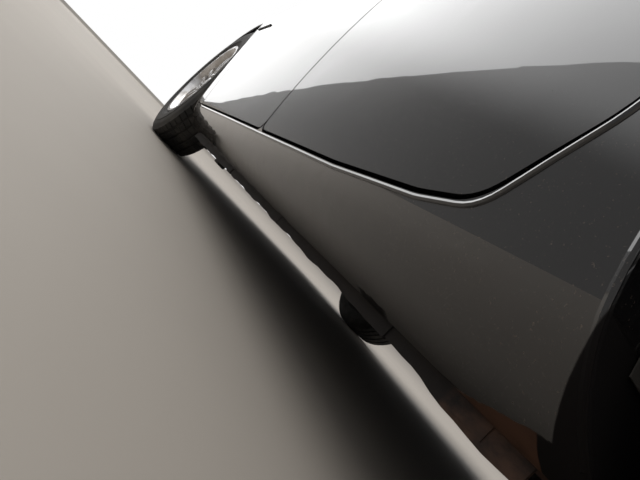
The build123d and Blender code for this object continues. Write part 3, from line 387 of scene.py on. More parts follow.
# Sill flange and the brackets behind it.
# The skins of the sill are spot-welded in a thin flange below it, brown with surface
# rust, and folded brackets of the floor show dark behind it.
flange_black = (0.008, 0.006, 0.006)
flange_rust = (0.080, 0.041, 0.026)
rusty, rusty_shader = finish("rusty_flange", (0.05, 0.035, 0.027), 0.8)
rusty_split = add_node(rusty, "ShaderNodeSeparateXYZ")
join(rusty, place(rusty), rusty_split.inputs["Vector"])
rusty_rear = ramp(rusty, rusty_split.outputs["Y"], 0.738, 0.748, 0.05, 1.0)
rusty_cloud = ramp(rusty, grain(rusty, 22.0, 6.0, 0.65, (1, 0.5, 1)), 0.3, 0.6)
rusty_patch = math_of(rusty, "MULTIPLY", rusty_cloud, rusty_rear)
tint(rusty, rusty_shader, rusty_patch, flange_black, flange_rust)
roughen(rusty, rusty_shader, grain(rusty, 300.0, 4.0), 0.4, 0.001)


def new_piece(name, bm, material, body, smooth=True):
    """Makes a finished mesh a piece that moves with a body."""
    bmesh.ops.remove_doubles(bm, verts=bm.verts, dist=0.00001)
    mesh = bpy.data.meshes.new(name)
    bm.to_mesh(mesh)
    bm.free()
    mesh.materials.append(material)
    if smooth:
        mesh.shade_smooth()
        mesh.set_sharp_from_angle(angle=math.radians(35))
    piece = collection_add(bpy.data.objects.new(name, mesh))
    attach(piece, body)
    return piece


def merge(bm, part_bm):
    """Adds a finished mesh to another."""
    mesh = bpy.data.meshes.new("part")
    part_bm.to_mesh(mesh)
    part_bm.free()
    bm.from_mesh(mesh)
    bpy.data.meshes.remove(mesh)


def soften(bm, width, segments=2, angle=0.6):
    """Rounds the sharp edges of a mesh."""
    sharp = [e for e in bm.edges if e.is_manifold and e.calc_face_angle(0) > angle]
    bmesh.ops.bevel(
        bm, geom=sharp, offset=width, segments=segments, profile=0.5,
        affect="EDGES", material=-1, clamp_overlap=True,
    )


def block(bm, low, high, cuts=0, bevel=0.0):
    """Adds a box between two corners, cut across its longest side, its edges rounded."""
    part = bmesh.new()
    bmesh.ops.create_cube(part, size=1.0)
    size = [high[i] - low[i] for i in range(3)]
    bmesh.ops.scale(part, vec=size, verts=part.verts)
    if bevel:
        soften(part, bevel)
    if cuts:
        way = size.index(max(size))
        edges = [e for e in part.edges if abs(e.verts[0].co[way] - e.verts[1].co[way]) > size[way] / 2]
        bmesh.ops.subdivide_edges(part, edges=edges, cuts=cuts)
    bmesh.ops.translate(part, vec=[(high[i] + low[i]) / 2 for i in range(3)], verts=part.verts)
    merge(bm, part)


def both(bm):
    """Adds the mirror image on the car's other side."""
    bmesh.ops.mirror(bm, geom=bm.verts[:] + bm.edges[:] + bm.faces[:], axis="X", merge_dist=-1)
    bmesh.ops.recalc_face_normals(bm, faces=bm.faces)


flange_inner = 0.7535
flange_outer = 0.7562
flange_front = -1.020
flange_rear = 0.850
flange_foot = 0.1190
flange_top = 0.1500
drop_start = 0.68
drop_run = 0.11
drop = 0.006
tab_half = 0.022
tab_inner = 0.7520
tab_outer = 0.7577
tab_foot = 0.1180
tab_top = 0.1380
tab_places = (-0.78, -0.32, 0.15, 0.60, 0.78)
bracket_spans = ((-0.560, -0.500, 0.110), (-0.905, -0.860, 0.114))
bracket_bevel = 0.004
flange_bm = bmesh.new()
block(
    flange_bm,
    (flange_inner, flange_front, flange_foot), (flange_outer, flange_rear, flange_top), cuts=90,
)
for vert in flange_bm.verts:
    if vert.co.z < 0.13:
        vert.co.z -= drop * max(0.0, min(1.0, (vert.co.y - drop_start) / drop_run))
        vert.co.z += 0.0012 * math.sin(vert.co.y * 31) + 0.0008 * math.sin(vert.co.y * 83)
        vert.co.x += 0.0010 * math.sin(vert.co.y * 47)
for middle in tab_places:
    tab_low = (tab_inner, middle - tab_half, tab_foot)
    block(flange_bm, tab_low, (tab_outer, middle + tab_half, tab_top))
both(flange_bm)
new_piece("sill_flange", flange_bm, rusty, "body", smooth=False)
bracket_bm = bmesh.new()
for low_y, high_y, foot in bracket_spans:
    block(bracket_bm, (0.720, low_y, foot), (0.7480, high_y, 0.150), bevel=bracket_bevel)
    arm_low = (0.640, low_y + 0.012, foot + 0.022)
    block(bracket_bm, arm_low, (0.730, high_y - 0.012, 0.168), bevel=bracket_bevel)
both(bracket_bm)
new_piece("floor_brackets", bracket_bm, under, "body")

# Rolled edges along the gaps and arches.
# The sheet is hemmed at each gap and lip, so a fine round edge catches the light
# below the doors and round the wheel arches.
axle_places = {"front": -1.435, "rear": 1.235}
wheel_height = 0.325
arch_radius = 0.3695
arch_reach = 118
hem_drop = 0.0098
hem_radius = 0.0038
lip_radius = 0.0042
hem_step = 0.02
side_start = 1.5
front_door_foot = ((-0.925, 0.223), (0.012, 0.232))
rear_door_outline = [
    (0.013, 0.232), (0.430, 0.238), (0.640, 0.249), (0.722, 0.262), (0.790, 0.372), (0.822, 0.560),
    (0.905, 0.700), (1.105, 0.905), (1.105, 0.975), (0.800, 1.352), (0.013, 1.352),
]
rear_door_rounds = [0.020, 0.400, 0.200, 0.058, 0.150, 0.200, 0.200, 0.060, 0.040, 0.070, 0.008]


def touch(nodes, start, way):
    """First point and outward normal of solids, from a start along a direction."""
    best = None
    for name in nodes:
        found, spot, normal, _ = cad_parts[name].ray_cast(Vector(start), Vector(way))
        if found and (best is None or (spot - Vector(start)).length < best[2]):
            best = (spot, normal, (spot - Vector(start)).length)
    return best


def rounded(corners, rounds, out=0.0):
    """Points of a closed outline with rounded corners, grown outwards by a margin."""
    lines = []
    for first, last in zip(corners, corners[1:] + corners[:1]):
        run = (Vector(last) - Vector(first)).normalized()
        lines.append((Vector(first) + Vector((run.y, -run.x)) * out, run))
    tips = []
    for (spot, run), (spot_2, run_2) in zip([lines[-1]] + lines[:-1], lines):
        cross = run.x * run_2.y - run.y * run_2.x
        far = spot_2 - spot
        tips.append(spot + run * ((far.x * run_2.y - far.y * run_2.x) / cross))
    points = []
    for index, tip in enumerate(tips):
        before = tips[index - 1] - tip
        after = tips[(index + 1) % len(tips)] - tip
        half = before.angle(after) / 2
        reach = min(rounds[index] / math.tan(half), 0.49 * before.length, 0.49 * after.length)
        start, end = tip + before.normalized() * reach, tip + after.normalized() * reach
        for t in (0, 0.2, 0.4, 0.6, 0.8, 1):
            points.append(start * (1 - t) ** 2 + tip * 2 * t * (1 - t) + end * t * t)
    return points


def walk(points, step, closed=False):
    """Points about every step along a path."""
    if closed:
        points = points + points[:1]
    out = []
    for first, last in zip(points, points[1:]):
        count = max(1, round((last - first).length / step))
        out += [first.lerp(last, i / count) for i in range(count)]
    return out if closed else out + [points[-1]]


def skin_path(nodes, points, side, least=0.5):
    """Skin points and normals under points of (along the car, height), from the side."""
    way = 1 if side == "left" else -1
    spots = []
    for point in points:
        met = touch(nodes, (way * side_start, point[0], point[1]), (-way, 0, 0))
        if met and abs(met[0].x) > least:
            spots.append(met[:2])
    return spots


def bead_line(bm, spots, radius, flat=1.0, closed=False, sink=0.0):
    """Adds a thin round strip that follows points, each with its outward normal."""
    rings = []
    count = len(spots)
    turns = [math.radians(45 * i) for i in range(8)]
    for index, (spot, normal) in enumerate(spots):
        before = spots[(index - 1) % count][0] if closed or index else spot
        after = spots[(index + 1) % count][0] if closed or index < count - 1 else spot
        across = (after - before).normalized().cross(normal).normalized()
        middle = spot - normal * sink
        rings.append([
            bm.verts.new(middle + across * radius * math.cos(a) + normal * radius * flat * math.sin(a))
            for a in turns
        ])
    pairs = list(zip(rings, rings[1:])) + ([(rings[-1], rings[0])] if closed else [])
    for first, last in pairs:
        edges = []
        for ring in (first, last):
            for i in range(8):
                pair = (ring[i], ring[(i + 1) % 8])
                edges.append(bm.edges.get(pair) or bm.edges.new(pair))
        bmesh.ops.bridge_loops(bm, edges=edges)
    if not closed:
        for ring in (rings[0], rings[-1]):
            bmesh.ops.contextual_create(bm, geom=ring)
    bmesh.ops.recalc_face_normals(bm, faces=bm.faces)


for side in ("left", "right"):
    hem_bm = bmesh.new()
    front_low = walk([Vector((y, z - hem_drop)) for y, z in front_door_foot], hem_step)
    rear_low = walk(rounded(rear_door_outline, rear_door_rounds, hem_drop), hem_step)
    rear_low = sorted([p for p in rear_low if p.y < 0.70 and p.x > 0.02], key=lambda p: p.x)
    spots = skin_path([f"{side}_body_side"], front_low + rear_low, side, 0.8)
    bead_line(hem_bm, spots, hem_radius, sink=0.0010)
    new_piece(f"{side}_sill_hem", hem_bm, paint, "body")
    lip_bm = bmesh.new()
    skins = [f"{side}_body_side", f"{side}_front_fender", "front_bumper", "rear_bumper"]
    outward = Vector((1 if side == "left" else -1, 0, 0))
    for axle_y in axle_places.values():
        turns = [math.radians(degrees) for degrees in range(-arch_reach, arch_reach + 1, 3)]
        circle = [
            (axle_y + arch_radius * math.sin(turn), wheel_height + arch_radius * math.cos(turn))
            for turn in turns
        ]
        spots = [(spot, outward) for spot, _ in skin_path(skins, circle, side, 0.7)]
        bead_line(lip_bm, spots, lip_radius, sink=0.0026)
    new_piece(f"{side}_arch_lips", lip_bm, paint, "body")

# Arch liners.
# Moulded black plastic shells are clipped inside each wheel arch, dull and splashed
# with dirt.
liner_black = (0.012, 0.012, 0.012)
liner_mud = (0.055, 0.048, 0.040)
liner_wall = 0.0012
liner_foot = 0.215
liner_profile = [(0.468, 0.3645), (0.560, 0.3630), (0.650, 0.3645), (0.740, 0.3630), (0.818, 0.3645)]
liner_plastic, liner_shader = finish("liner_plastic", (0.018, 0.017, 0.016), 0.85)
liner_dirt = ramp(liner_plastic, grain(liner_plastic, 9.0, 6.0, 0.6), 0.35, 0.75)
tint(liner_plastic, liner_shader, liner_dirt, liner_black, liner_mud)
roughen(liner_plastic, liner_shader, grain(liner_plastic, 500.0, 2.0), 0.3, 0.0008)


def ring_from(bm, points, steps):
    """Spins a line of (place along the axle, radius) round the X axis."""
    line = [bm.verts.new((across, 0, radius)) for across, radius in points]
    edges = [bm.edges.new(pair) for pair in zip(line, line[1:])]
    bmesh.ops.spin(
        bm, geom=line + edges, cent=(0, 0, 0), axis=(1, 0, 0),
        angle=math.radians(360), steps=steps, use_merge=True,
    )
    bmesh.ops.remove_doubles(bm, verts=bm.verts, dist=0.00001)


for axle, axle_y in axle_places.items():
    for side in ("left", "right"):
        way = 1 if side == "left" else -1
        liner_bm = bmesh.new()
        ring_from(liner_bm, liner_profile, 60)
        bmesh.ops.translate(liner_bm, vec=(0, axle_y, wheel_height), verts=liner_bm.verts)
        bmesh.ops.bisect_plane(
            liner_bm, geom=liner_bm.verts[:] + liner_bm.edges[:] + liner_bm.faces[:],
            plane_co=(0, 0, liner_foot), plane_no=(0, 0, -1), clear_outer=True,
        )
        bmesh.ops.scale(liner_bm, vec=(way, 1, 1), verts=liner_bm.verts)
        bmesh.ops.recalc_face_normals(liner_bm, faces=liner_bm.faces)
        bmesh.ops.solidify(liner_bm, geom=liner_bm.faces[:], thickness=liner_wall)
        bmesh.ops.recalc_face_normals(liner_bm, faces=liner_bm.faces)
        new_piece(f"{side}_{axle}_liner", liner_bm, liner_plastic, "body")

# Tyres.
# Black rubber with five ribs of tread blocks, slanted to a shallow arrow, and ridged
# sidewalls. Each is pressed on its rim and dusty in its grooves.
rubber_black = (0.014, 0.014, 0.014)
rubber_dust = (0.060, 0.054, 0.047)
wheel_x = 0.750
tread_base = 0.3178
tread_crown = 0.22
groove_depth = 0.0066
groove_half = 0.0021
rib_edges = (0.016, 0.0225, 0.048, 0.0545, 0.084)
wall_profile = [
    (0.0790, 0.2033), (0.0860, 0.2080), (0.0935, 0.2230), (0.0990, 0.2400), (0.1005, 0.2405),
    (0.1022, 0.2600), (0.1008, 0.2790), (0.0990, 0.2800), (0.0962, 0.2960), (0.0915, 0.3085),
]
rubber, rubber_shader = finish("tyre_rubber", (0.022, 0.021, 0.020), 0.75)
rubber_cloud = ramp(rubber, grain(rubber, 14.0, 6.0, 0.6), 0.35, 0.8)
tint(rubber, rubber_shader, rubber_cloud, rubber_black, rubber_dust)
roughen(rubber, rubber_shader, grain(rubber, 700.0, 2.0), 0.25, 0.0006)


def to_wheel(bm, side, axle):
    """Moves a wheel piece made round the origin to its corner of the car."""
    way = 1 if side == "left" else -1
    bmesh.ops.scale(bm, vec=(way, 1, 1), verts=bm.verts)
    bmesh.ops.translate(bm, vec=(way * wheel_x, axle_places[axle], wheel_height), verts=bm.verts)
    bmesh.ops.recalc_face_normals(bm, faces=bm.faces)


def tyre_piece(side, axle):
    """Tyre of one corner of the car."""
    bm = bmesh.new()
    tread = [(across, tread_base - across * across * tread_crown) for across in reversed(rib_edges)]
    half = wall_profile + tread
    ring_from(bm, half + [(-across, radius) for across, radius in reversed(half)], 60)
    bmesh.ops.bridge_loops(bm, edges=[e for e in bm.edges if e.is_boundary])
    bmesh.ops.recalc_face_normals(bm, faces=bm.faces)
    for across in rib_edges:
        for way in (-1, 1):
            ringed = [v for v in bm.verts if abs(v.co.x - way * across) < 0.0004]
            bmesh.ops.rotate(
                bm, cent=(0, 0, 0), matrix=Matrix.Rotation(across * 1.1, 3, "X"), verts=ringed
            )
    bm.faces.ensure_lookup_table()
    edges = [-across for across in reversed(rib_edges)] + list(rib_edges)
    blocks = []
    for low, high in zip(edges[::2], edges[1::2]):
        for face in bm.faces:
            spread = [v.co.x for v in face.verts]
            if len(spread) == 4 and min(spread) > low - 0.001 and max(spread) < high + 0.001:
                if max(spread) - min(spread) > 0.01:
                    blocks.append(face)
    bmesh.ops.inset_individual(
        bm, faces=blocks, thickness=groove_half, depth=groove_depth, use_even_offset=True
    )
    to_wheel(bm, side, axle)
    tyre = new_piece(f"{side}_{axle}_tread", bm, rubber, f"{side}_{axle}_wheel")
    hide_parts(f"{side}_{axle}_tyre")


for side in ("left", "right"):
    for axle in ("front", "rear"):
        tyre_piece(side, axle)

# Rims.
# Cast alloy with five twin spokes, a turned lip, a plain centre cap and five nuts,
# in front of a grey iron brake disc.
alloy_bright = (0.66, 0.66, 0.67)
alloy_dust = (0.40, 0.37, 0.34)
iron_grey = (0.34, 0.33, 0.32)
iron_rust = (0.16, 0.09, 0.05)
spoke_count = 5
spoke_size = (0.018, 0.022, 0.146)
spoke_offset = 0.021
spoke_cuts = 4
spoke_middle = 0.122
spoke_spread = 0.055
nut_circle = 0.050
nut_depth = 0.016
nut_foot_radius = 0.0095
nut_top_radius = 0.0085
barrel_profile = [
    (-0.090, 0.2135), (-0.094, 0.2145), (-0.095, 0.2030), (-0.084, 0.1960), (-0.060, 0.1880),
    (0.030, 0.1850), (0.074, 0.1860), (0.084, 0.1930), (0.0945, 0.2010), (0.0955, 0.2140),
    (0.0915, 0.2150), (0.0905, 0.2032), (0.0800, 0.2028), (-0.0800, 0.2028), (-0.0890, 0.2032),
    (-0.090, 0.2135),
]
hub_profile = [
    (0.040, 0.0), (0.040, 0.068), (0.060, 0.069), (0.066, 0.064), (0.068, 0.040), (0.066, 0.034),
    (0.069, 0.031), (0.0735, 0.028), (0.0745, 0.020), (0.0750, 0.0),
]
disc_profile = [
    (0.000, 0.020), (0.000, 0.138), (0.002, 0.140), (0.007, 0.140), (0.008, 0.132), (0.014, 0.132),
    (0.015, 0.140), (0.020, 0.140), (0.022, 0.138), (0.022, 0.082), (0.030, 0.078), (0.040, 0.072),
    (0.040, 0.020), (0.000, 0.020),
]
alloy, alloy_shader = finish("rim_alloy", (0.60, 0.60, 0.61), 0.28, metallic=1.0)
tint(alloy, alloy_shader, ramp(alloy, grain(alloy, 20.0, 5.0), 0.35, 0.8), alloy_bright, alloy_dust)
uneven_gloss(alloy, alloy_shader, grain(alloy, 25.0, 4.0), 0.22, 0.45)
disc_iron, disc_shader = finish("brake_iron", (0.30, 0.29, 0.28), 0.35, metallic=1.0)
tint(disc_iron, disc_shader, ramp(disc_iron, grain(disc_iron, 60.0, 5.0), 0.5, 0.75), iron_grey, iron_rust)


def spoke(bm, angle, offset):
    """One leg of a twin spoke, from the hub out to the rim."""
    part = bmesh.new()
    bmesh.ops.create_cube(part, size=1.0)
    bmesh.ops.scale(part, vec=spoke_size, verts=part.verts)
    edges = [e for e in part.edges if abs(e.verts[0].co.z - e.verts[1].co.z) > 0.1]
    bmesh.ops.subdivide_edges(part, edges=edges, cuts=spoke_cuts)
    for v in part.verts:
        up = v.co.z / spoke_size[2] + 0.5
        v.co.y *= 0.85 + 0.6 * (up - 0.4) ** 2
        v.co.x += 0.010 * math.sin(math.pi * up) - 0.006 * up
    bmesh.ops.translate(part, vec=(0.064, offset, spoke_middle), verts=part.verts)
    spread = Matrix.Rotation(math.copysign(spoke_spread, -offset), 3, "X")
    bmesh.ops.rotate(part, cent=(0.06, 0, 0.05), matrix=spread, verts=part.verts)
    bmesh.ops.rotate(part, cent=(0, 0, 0), matrix=Matrix.Rotation(angle, 3, "X"), verts=part.verts)
    soften(part, 0.0018, angle=0.8)
    merge(bm, part)


def wheel_nut(bm, angle):
    """One six-sided nut on the hub."""
    nut = bmesh.ops.create_cone(
        bm, cap_ends=True, cap_tris=False, segments=6,
        radius1=nut_foot_radius, radius2=nut_top_radius, depth=nut_depth,
    )["verts"]
    bmesh.ops.rotate(bm, cent=(0, 0, 0), matrix=Matrix.Rotation(math.radians(90), 3, "Y"), verts=nut)
    bmesh.ops.translate(bm, vec=(0.071, 0, nut_circle), verts=nut)
    bmesh.ops.rotate(bm, cent=(0, 0, 0), matrix=Matrix.Rotation(angle, 3, "X"), verts=nut)


def rim_piece(side, axle):
    """Rim of one corner, with its spokes, cap and nuts, and the brake disc behind it."""
    bm = bmesh.new()
    for index in range(spoke_count):
        turn = 360 / spoke_count * index
        for offset in (-spoke_offset, spoke_offset):
            spoke(bm, math.radians(turn), offset)
        wheel_nut(bm, math.radians(turn + 180 / spoke_count))
    ring_from(bm, barrel_profile, 72)
    ring_from(bm, hub_profile, 40)
    to_wheel(bm, side, axle)
    rim = new_piece(f"{side}_{axle}_alloy", bm, alloy, f"{side}_{axle}_wheel")
    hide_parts(f"{side}_{axle}_rim")
    disc_bm = bmesh.new()
    ring_from(disc_bm, disc_profile, 64)
    to_wheel(disc_bm, side, axle)
    new_piece(f"{side}_{axle}_disc", disc_bm, disc_iron, f"{side}_{axle}_wheel")


for side in ("left", "right"):
    for axle in ("front", "rear"):
        rim_piece(side, axle)

# Engine bay.
# A ribbed plastic cover with an oil cap lies on the engine. A battery with two poles
# stands on one side of it and a washer bottle on the other.
bottle_pale = (0.66, 0.64, 0.57)
bottle_yellow = (0.52, 0.49, 0.40)
cover_ribs = 6
rib_pitch = 0.055
rib_width = 0.020
cap_profile = [(0.0, 0.0), (0.0, 0.026), (0.022, 0.026), (0.026, 0.022), (0.026, 0.0)]
pole_profile = [(0.0, 0.0), (0.0, 0.009), (0.018, 0.008), (0.018, 0.0)]
neck_profile = [(0.0, 0.0), (0.0, 0.020), (0.030, 0.020), (0.030, 0.024), (0.040, 0.024), (0.042, 0.0)]
bay_plastic, bay_shader = finish("bay_plastic", (0.025, 0.025, 0.026), 0.5)
uneven_gloss(bay_plastic, bay_shader, grain(bay_plastic, 30.0, 4.0), 0.4, 0.7, full=0.75)
roughen(bay_plastic, bay_shader, grain(bay_plastic, 700.0, 2.0), 0.2, 0.0005)
milky, milky_shader = finish("bottle_plastic", (0.62, 0.60, 0.52), 0.45)
tint(milky, milky_shader, grain(milky, 8.0, 3.0), bottle_pale, bottle_yellow)
milky_shader.inputs["Subsurface Weight"].default_value = 0.15
axis_turns = {"Z": (-90, "Y"), "Y": (90, "Z"), "-Y": (-90, "Z")}


def turned(bm, points, place_at, way="Z", steps=40):
    """Adds a turned shape, its points (along the axis, radius), standing at a place."""
    part = bmesh.new()
    ring_from(part, points, steps)
    degrees, axis = axis_turns[way]
    turn = Matrix.Rotation(math.radians(degrees), 3, axis)
    bmesh.ops.rotate(part, cent=(0, 0, 0), matrix=turn, verts=part.verts)
    bmesh.ops.translate(part, vec=place_at, verts=part.verts)
    bmesh.ops.recalc_face_normals(part, faces=part.faces)
    merge(bm, part)


cover_bm = bmesh.new()
block(cover_bm, (-0.290, -1.690, 0.767), (0.250, -1.300, 0.792), bevel=0.010)
for step in range(cover_ribs):
    rib_y = -1.650 + step * rib_pitch
    block(cover_bm, (-0.230, rib_y, 0.788), (0.150, rib_y + rib_width, 0.799), bevel=0.003)
turned(cover_bm, cap_profile, (0.200, -1.360, 0.790))
new_piece("engine_cover", cover_bm, bay_plastic, "body")
battery_bm = bmesh.new()
block(battery_bm, (0.345, -1.500, 0.408), (0.432, -1.270, 0.600), bevel=0.004)
block(battery_bm, (0.341, -1.504, 0.590), (0.436, -1.266, 0.606), bevel=0.003)
for pole_y in (-1.450, -1.320):
    turned(battery_bm, pole_profile, (0.390, pole_y, 0.605), steps=20)
new_piece("battery", battery_bm, bay_plastic, "body")
bottle_bm = bmesh.new()
block(bottle_bm, (-0.432, -1.480, 0.410), (-0.345, -1.300, 0.590), bevel=0.014)
turned(bottle_bm, neck_profile, (-0.390, -1.400, 0.588), steps=32)
new_piece("washer_bottle", bottle_bm, milky, "body")

# Lamps.
# Clear and red moulded covers, each sealed to a grey housing, with bright bowls
# behind the clear ones.
bowl_places = (
    (0.470, 0.027, 0.662, 0.030),
    (0.570, 0.033, 0.676, 0.040),
    (0.690, 0.034, 0.694, 0.055),
)
bulb_profile = [(-0.027, 0.0), (-0.027, 0.006), (-0.010, 0.0055), (-0.006, 0.0)]
cover_wall = 0.0025
housing_wall = 0.0015
end_start = 3.0
clear, clear_shader = finish("clear_cover", (0.92, 0.94, 0.95), 0.02)
clear_shader.inputs["Transmission Weight"].default_value = 0.96
clear_shader.inputs["IOR"].default_value = 1.15
uneven_gloss(clear, clear_shader, grain(clear, 26.0, 4.0), 0.01, 0.05)
red, red_shader = finish("red_cover", (0.42, 0.006, 0.010), 0.06, coat=1.0)
red_shader.inputs["Transmission Weight"].default_value = 0.45
red_shader.inputs["IOR"].default_value = 1.2
red_cells = add_node(red, "ShaderNodeTexVoronoi", feature="F1")
red_cells.inputs["Scale"].default_value = 160.0
join(red, place(red), red_cells.inputs["Vector"])
roughen(red, red_shader, red_cells.outputs["Distance"], 0.35, 0.0012)
housing, housing_shader = finish("lamp_housing", (0.16, 0.16, 0.165), 0.35, metallic=0.6)
uneven_gloss(housing, housing_shader, grain(housing, 40.0, 3.0), 0.25, 0.5)
bright, bright_shader = finish("bright_bowl", (0.80, 0.80, 0.81), 0.12, metallic=1.0)
uneven_gloss(bright, bright_shader, grain(bright, 60.0, 3.0), 0.06, 0.2)
bowl_bm = bmesh.new()
for centre_x, radius, centre_z, setback in bowl_places:
    front = touch(["headlamps"], (centre_x, -end_start, centre_z), (0, 1, 0))
    centre = (centre_x, front[0].y + setback, centre_z)
    bowl_profile = [
        (-0.028, 0.0), (-0.027, radius * 0.45), (-0.018, radius * 0.78), (0.0, radius),
        (0.003, radius + 0.002), (0.0, radius + 0.004), (-0.030, radius * 0.8), (-0.031, 0.0),
    ]
    turned(bowl_bm, bowl_profile, centre, "-Y")
    turned(bowl_bm, bulb_profile, centre, "-Y", 16)
both(bowl_bm)
new_piece("lamp_bowls", bowl_bm, bright, "body")


def lamp_cover(node, way, cover_material):
    """Shell of a lamp's outer face, from a copy of its solid, and the housing behind it."""
    whole = bmesh.new()
    whole.from_mesh(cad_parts[node].data)
    bmesh.ops.remove_doubles(whole, verts=whole.verts, dist=0.00002)
    for part, material, thick in (("cover", cover_material, cover_wall), ("housing", housing, housing_wall)):
        bm = whole.copy()
        outer = [f for f in bm.faces if (f.normal.y * way > 0.03) != (part == "cover")]
        bmesh.ops.delete(bm, geom=outer, context="FACES")
        bmesh.ops.recalc_face_normals(bm, faces=bm.faces)
        bmesh.ops.solidify(bm, geom=bm.faces[:], thickness=thick)
        bmesh.ops.recalc_face_normals(bm, faces=bm.faces)
        piece = new_piece(f"{node}_{part}", bm, material, "body")
        if part == "cover":
            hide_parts(node)
    whole.free()


lamp_cover("headlamps", -1, clear)
lamp_cover("tail_lamps", 1, red)

# Plates.
# A blank pressed plate is screwed on a black carrier in the middle of each bumper.
plate_white = (0.66, 0.66, 0.64)
plate_grey = (0.60, 0.59, 0.57)
plate_half = 0.220
plate_height = 0.112
carrier_margin = 0.012
carrier_foot = 0.008
carrier_height = 0.120
plate_homes = (("front", -1, ["front_bumper"], 0.400), ("rear", 1, ["rear_bumper"], 0.500))
plate_paint, plate_shader = finish("blank_plate", (0.62, 0.62, 0.60), 0.35)
tint(plate_paint, plate_shader, grain(plate_paint, 30.0, 5.0), plate_white, plate_grey)


def curved_plate(bm, half, low, high, way, thick, lift, nodes):
    """Adds a slab that follows the skin ahead of or behind it."""
    columns, rows = 16, 4
    grid = []
    for row in range(rows + 1):
        line = []
        for column in range(columns + 1):
            x = -half + 2 * half * column / columns
            z = low + (high - low) * row / rows
            met = touch(nodes, (x, way * end_start, z), (0, -way, 0))
            line.append(bm.verts.new((x, met[0].y + way * lift, z)))
        grid.append(line)
    faces = [
        bm.faces.new((grid[r][c], grid[r][c + 1], grid[r + 1][c + 1], grid[r + 1][c]))
        for r in range(rows) for c in range(columns)
    ]
    bmesh.ops.recalc_face_normals(bm, faces=faces)
    bmesh.ops.solidify(bm, geom=faces, thickness=thick)
    bmesh.ops.recalc_face_normals(bm, faces=bm.faces)


for name, way, nodes, low in plate_homes:
    carrier_bm = bmesh.new()
    carrier_half = plate_half + carrier_margin
    carrier_low = low - carrier_foot
    curved_plate(carrier_bm, carrier_half, carrier_low, low + carrier_height, way, 0.004, 0.0045, nodes)
    soften(carrier_bm, 0.0015)
    new_piece(f"{name}_plate_carrier", carrier_bm, bay_plastic, "body")
    plate_bm = bmesh.new()
    curved_plate(plate_bm, plate_half, low, low + plate_height, way, 0.002, 0.0075, nodes)
    soften(plate_bm, 0.0008)
    new_piece(f"{name}_plate", plate_bm, plate_paint, "body")

# Window seals and waist strips.
# Black rubber lips, pressed into the door frames, seal the glass of each door, and a
# thicker strip wipes it along the waist.
window_outlines = {
    "front": (
        [(-0.610, 0.958), (-0.032, 0.958), (-0.032, 1.310), (-0.098, 1.310)],
        [0.014, 0.014, 0.010, 0.050],
    ),
    "rear": (
        [(0.052, 0.958), (1.000, 0.958), (1.030, 0.985), (0.775, 1.310), (0.052, 1.310)],
        [0.014, 0.014, 0.020, 0.060, 0.010],
    ),
}
waist_ends = {"front": (-0.700, -0.004), "rear": (0.024, 1.060)}
waist_height = 0.9445
seal_radius = 0.0045
waist_radius = 0.0075
seal, seal_shader = finish("seal_rubber", (0.012, 0.012, 0.012), 0.6)
uneven_gloss(seal, seal_shader, grain(seal, 120.0, 3.0), 0.5, 0.75)
for side in ("left", "right"):
    for row, (outline, rounds) in window_outlines.items():
        door = f"{side}_{row}_door"
        seal_bm = bmesh.new()
        loop = walk(rounded(outline, rounds, seal_radius), 0.02, closed=True)
        spots = skin_path([door], loop, side, 0.4)
        bead_line(seal_bm, spots, seal_radius, flat=0.7, closed=True, sink=0.0012)
        new_piece(f"{side}_{row}_window_seal", seal_bm, seal, door)
        waist_bm = bmesh.new()
        strip = walk([Vector((end, waist_height)) for end in waist_ends[row]], 0.04)
        bead_line(waist_bm, skin_path([door], strip, side, 0.4), waist_radius, flat=0.45, sink=0.0010)
        new_piece(f"{side}_{row}_waist_strip", waist_bm, seal, door)

# Door mirrors.
# A silvered glass is glued in a dark rim in the back of each shell.
mirror_place = (0.940, 1.000)
mirror_round = 0.018
mirror_parts = (
    ("rim", 0.070, 0.046, -0.5590, -0.5560),
    ("glass", 0.065, 0.041, -0.5570, -0.5535),
)
silvered, silvered_shader = finish("mirror_silver", (0.82, 0.83, 0.84), 0.02, metallic=1.0)
uneven_gloss(silvered, silvered_shader, grain(silvered, 15.0, 4.0), 0.01, 0.06)
for side in ("left", "right"):
    way = 1 if side == "left" else -1
    for part, half_x, half_z, low_y, high_y in mirror_parts:
        mirror_bm = bmesh.new()
        block(mirror_bm, (-half_x, low_y, -half_z), (half_x, high_y, half_z))
        corners = [e for e in mirror_bm.edges if abs(e.verts[0].co.y - e.verts[1].co.y) > 0.001]
        bmesh.ops.bevel(
            mirror_bm, geom=corners, offset=mirror_round, segments=6, profile=0.5,
            affect="EDGES", material=-1, clamp_overlap=True,
        )
        soften(mirror_bm, 0.0006, segments=1)
        bmesh.ops.translate(
            mirror_bm, vec=(way * mirror_place[0], 0, mirror_place[1]), verts=mirror_bm.verts
        )
        material = silvered if part == "glass" else seal
        new_piece(f"{side}_mirror_{part}", mirror_bm, material, f"{side}_front_door")

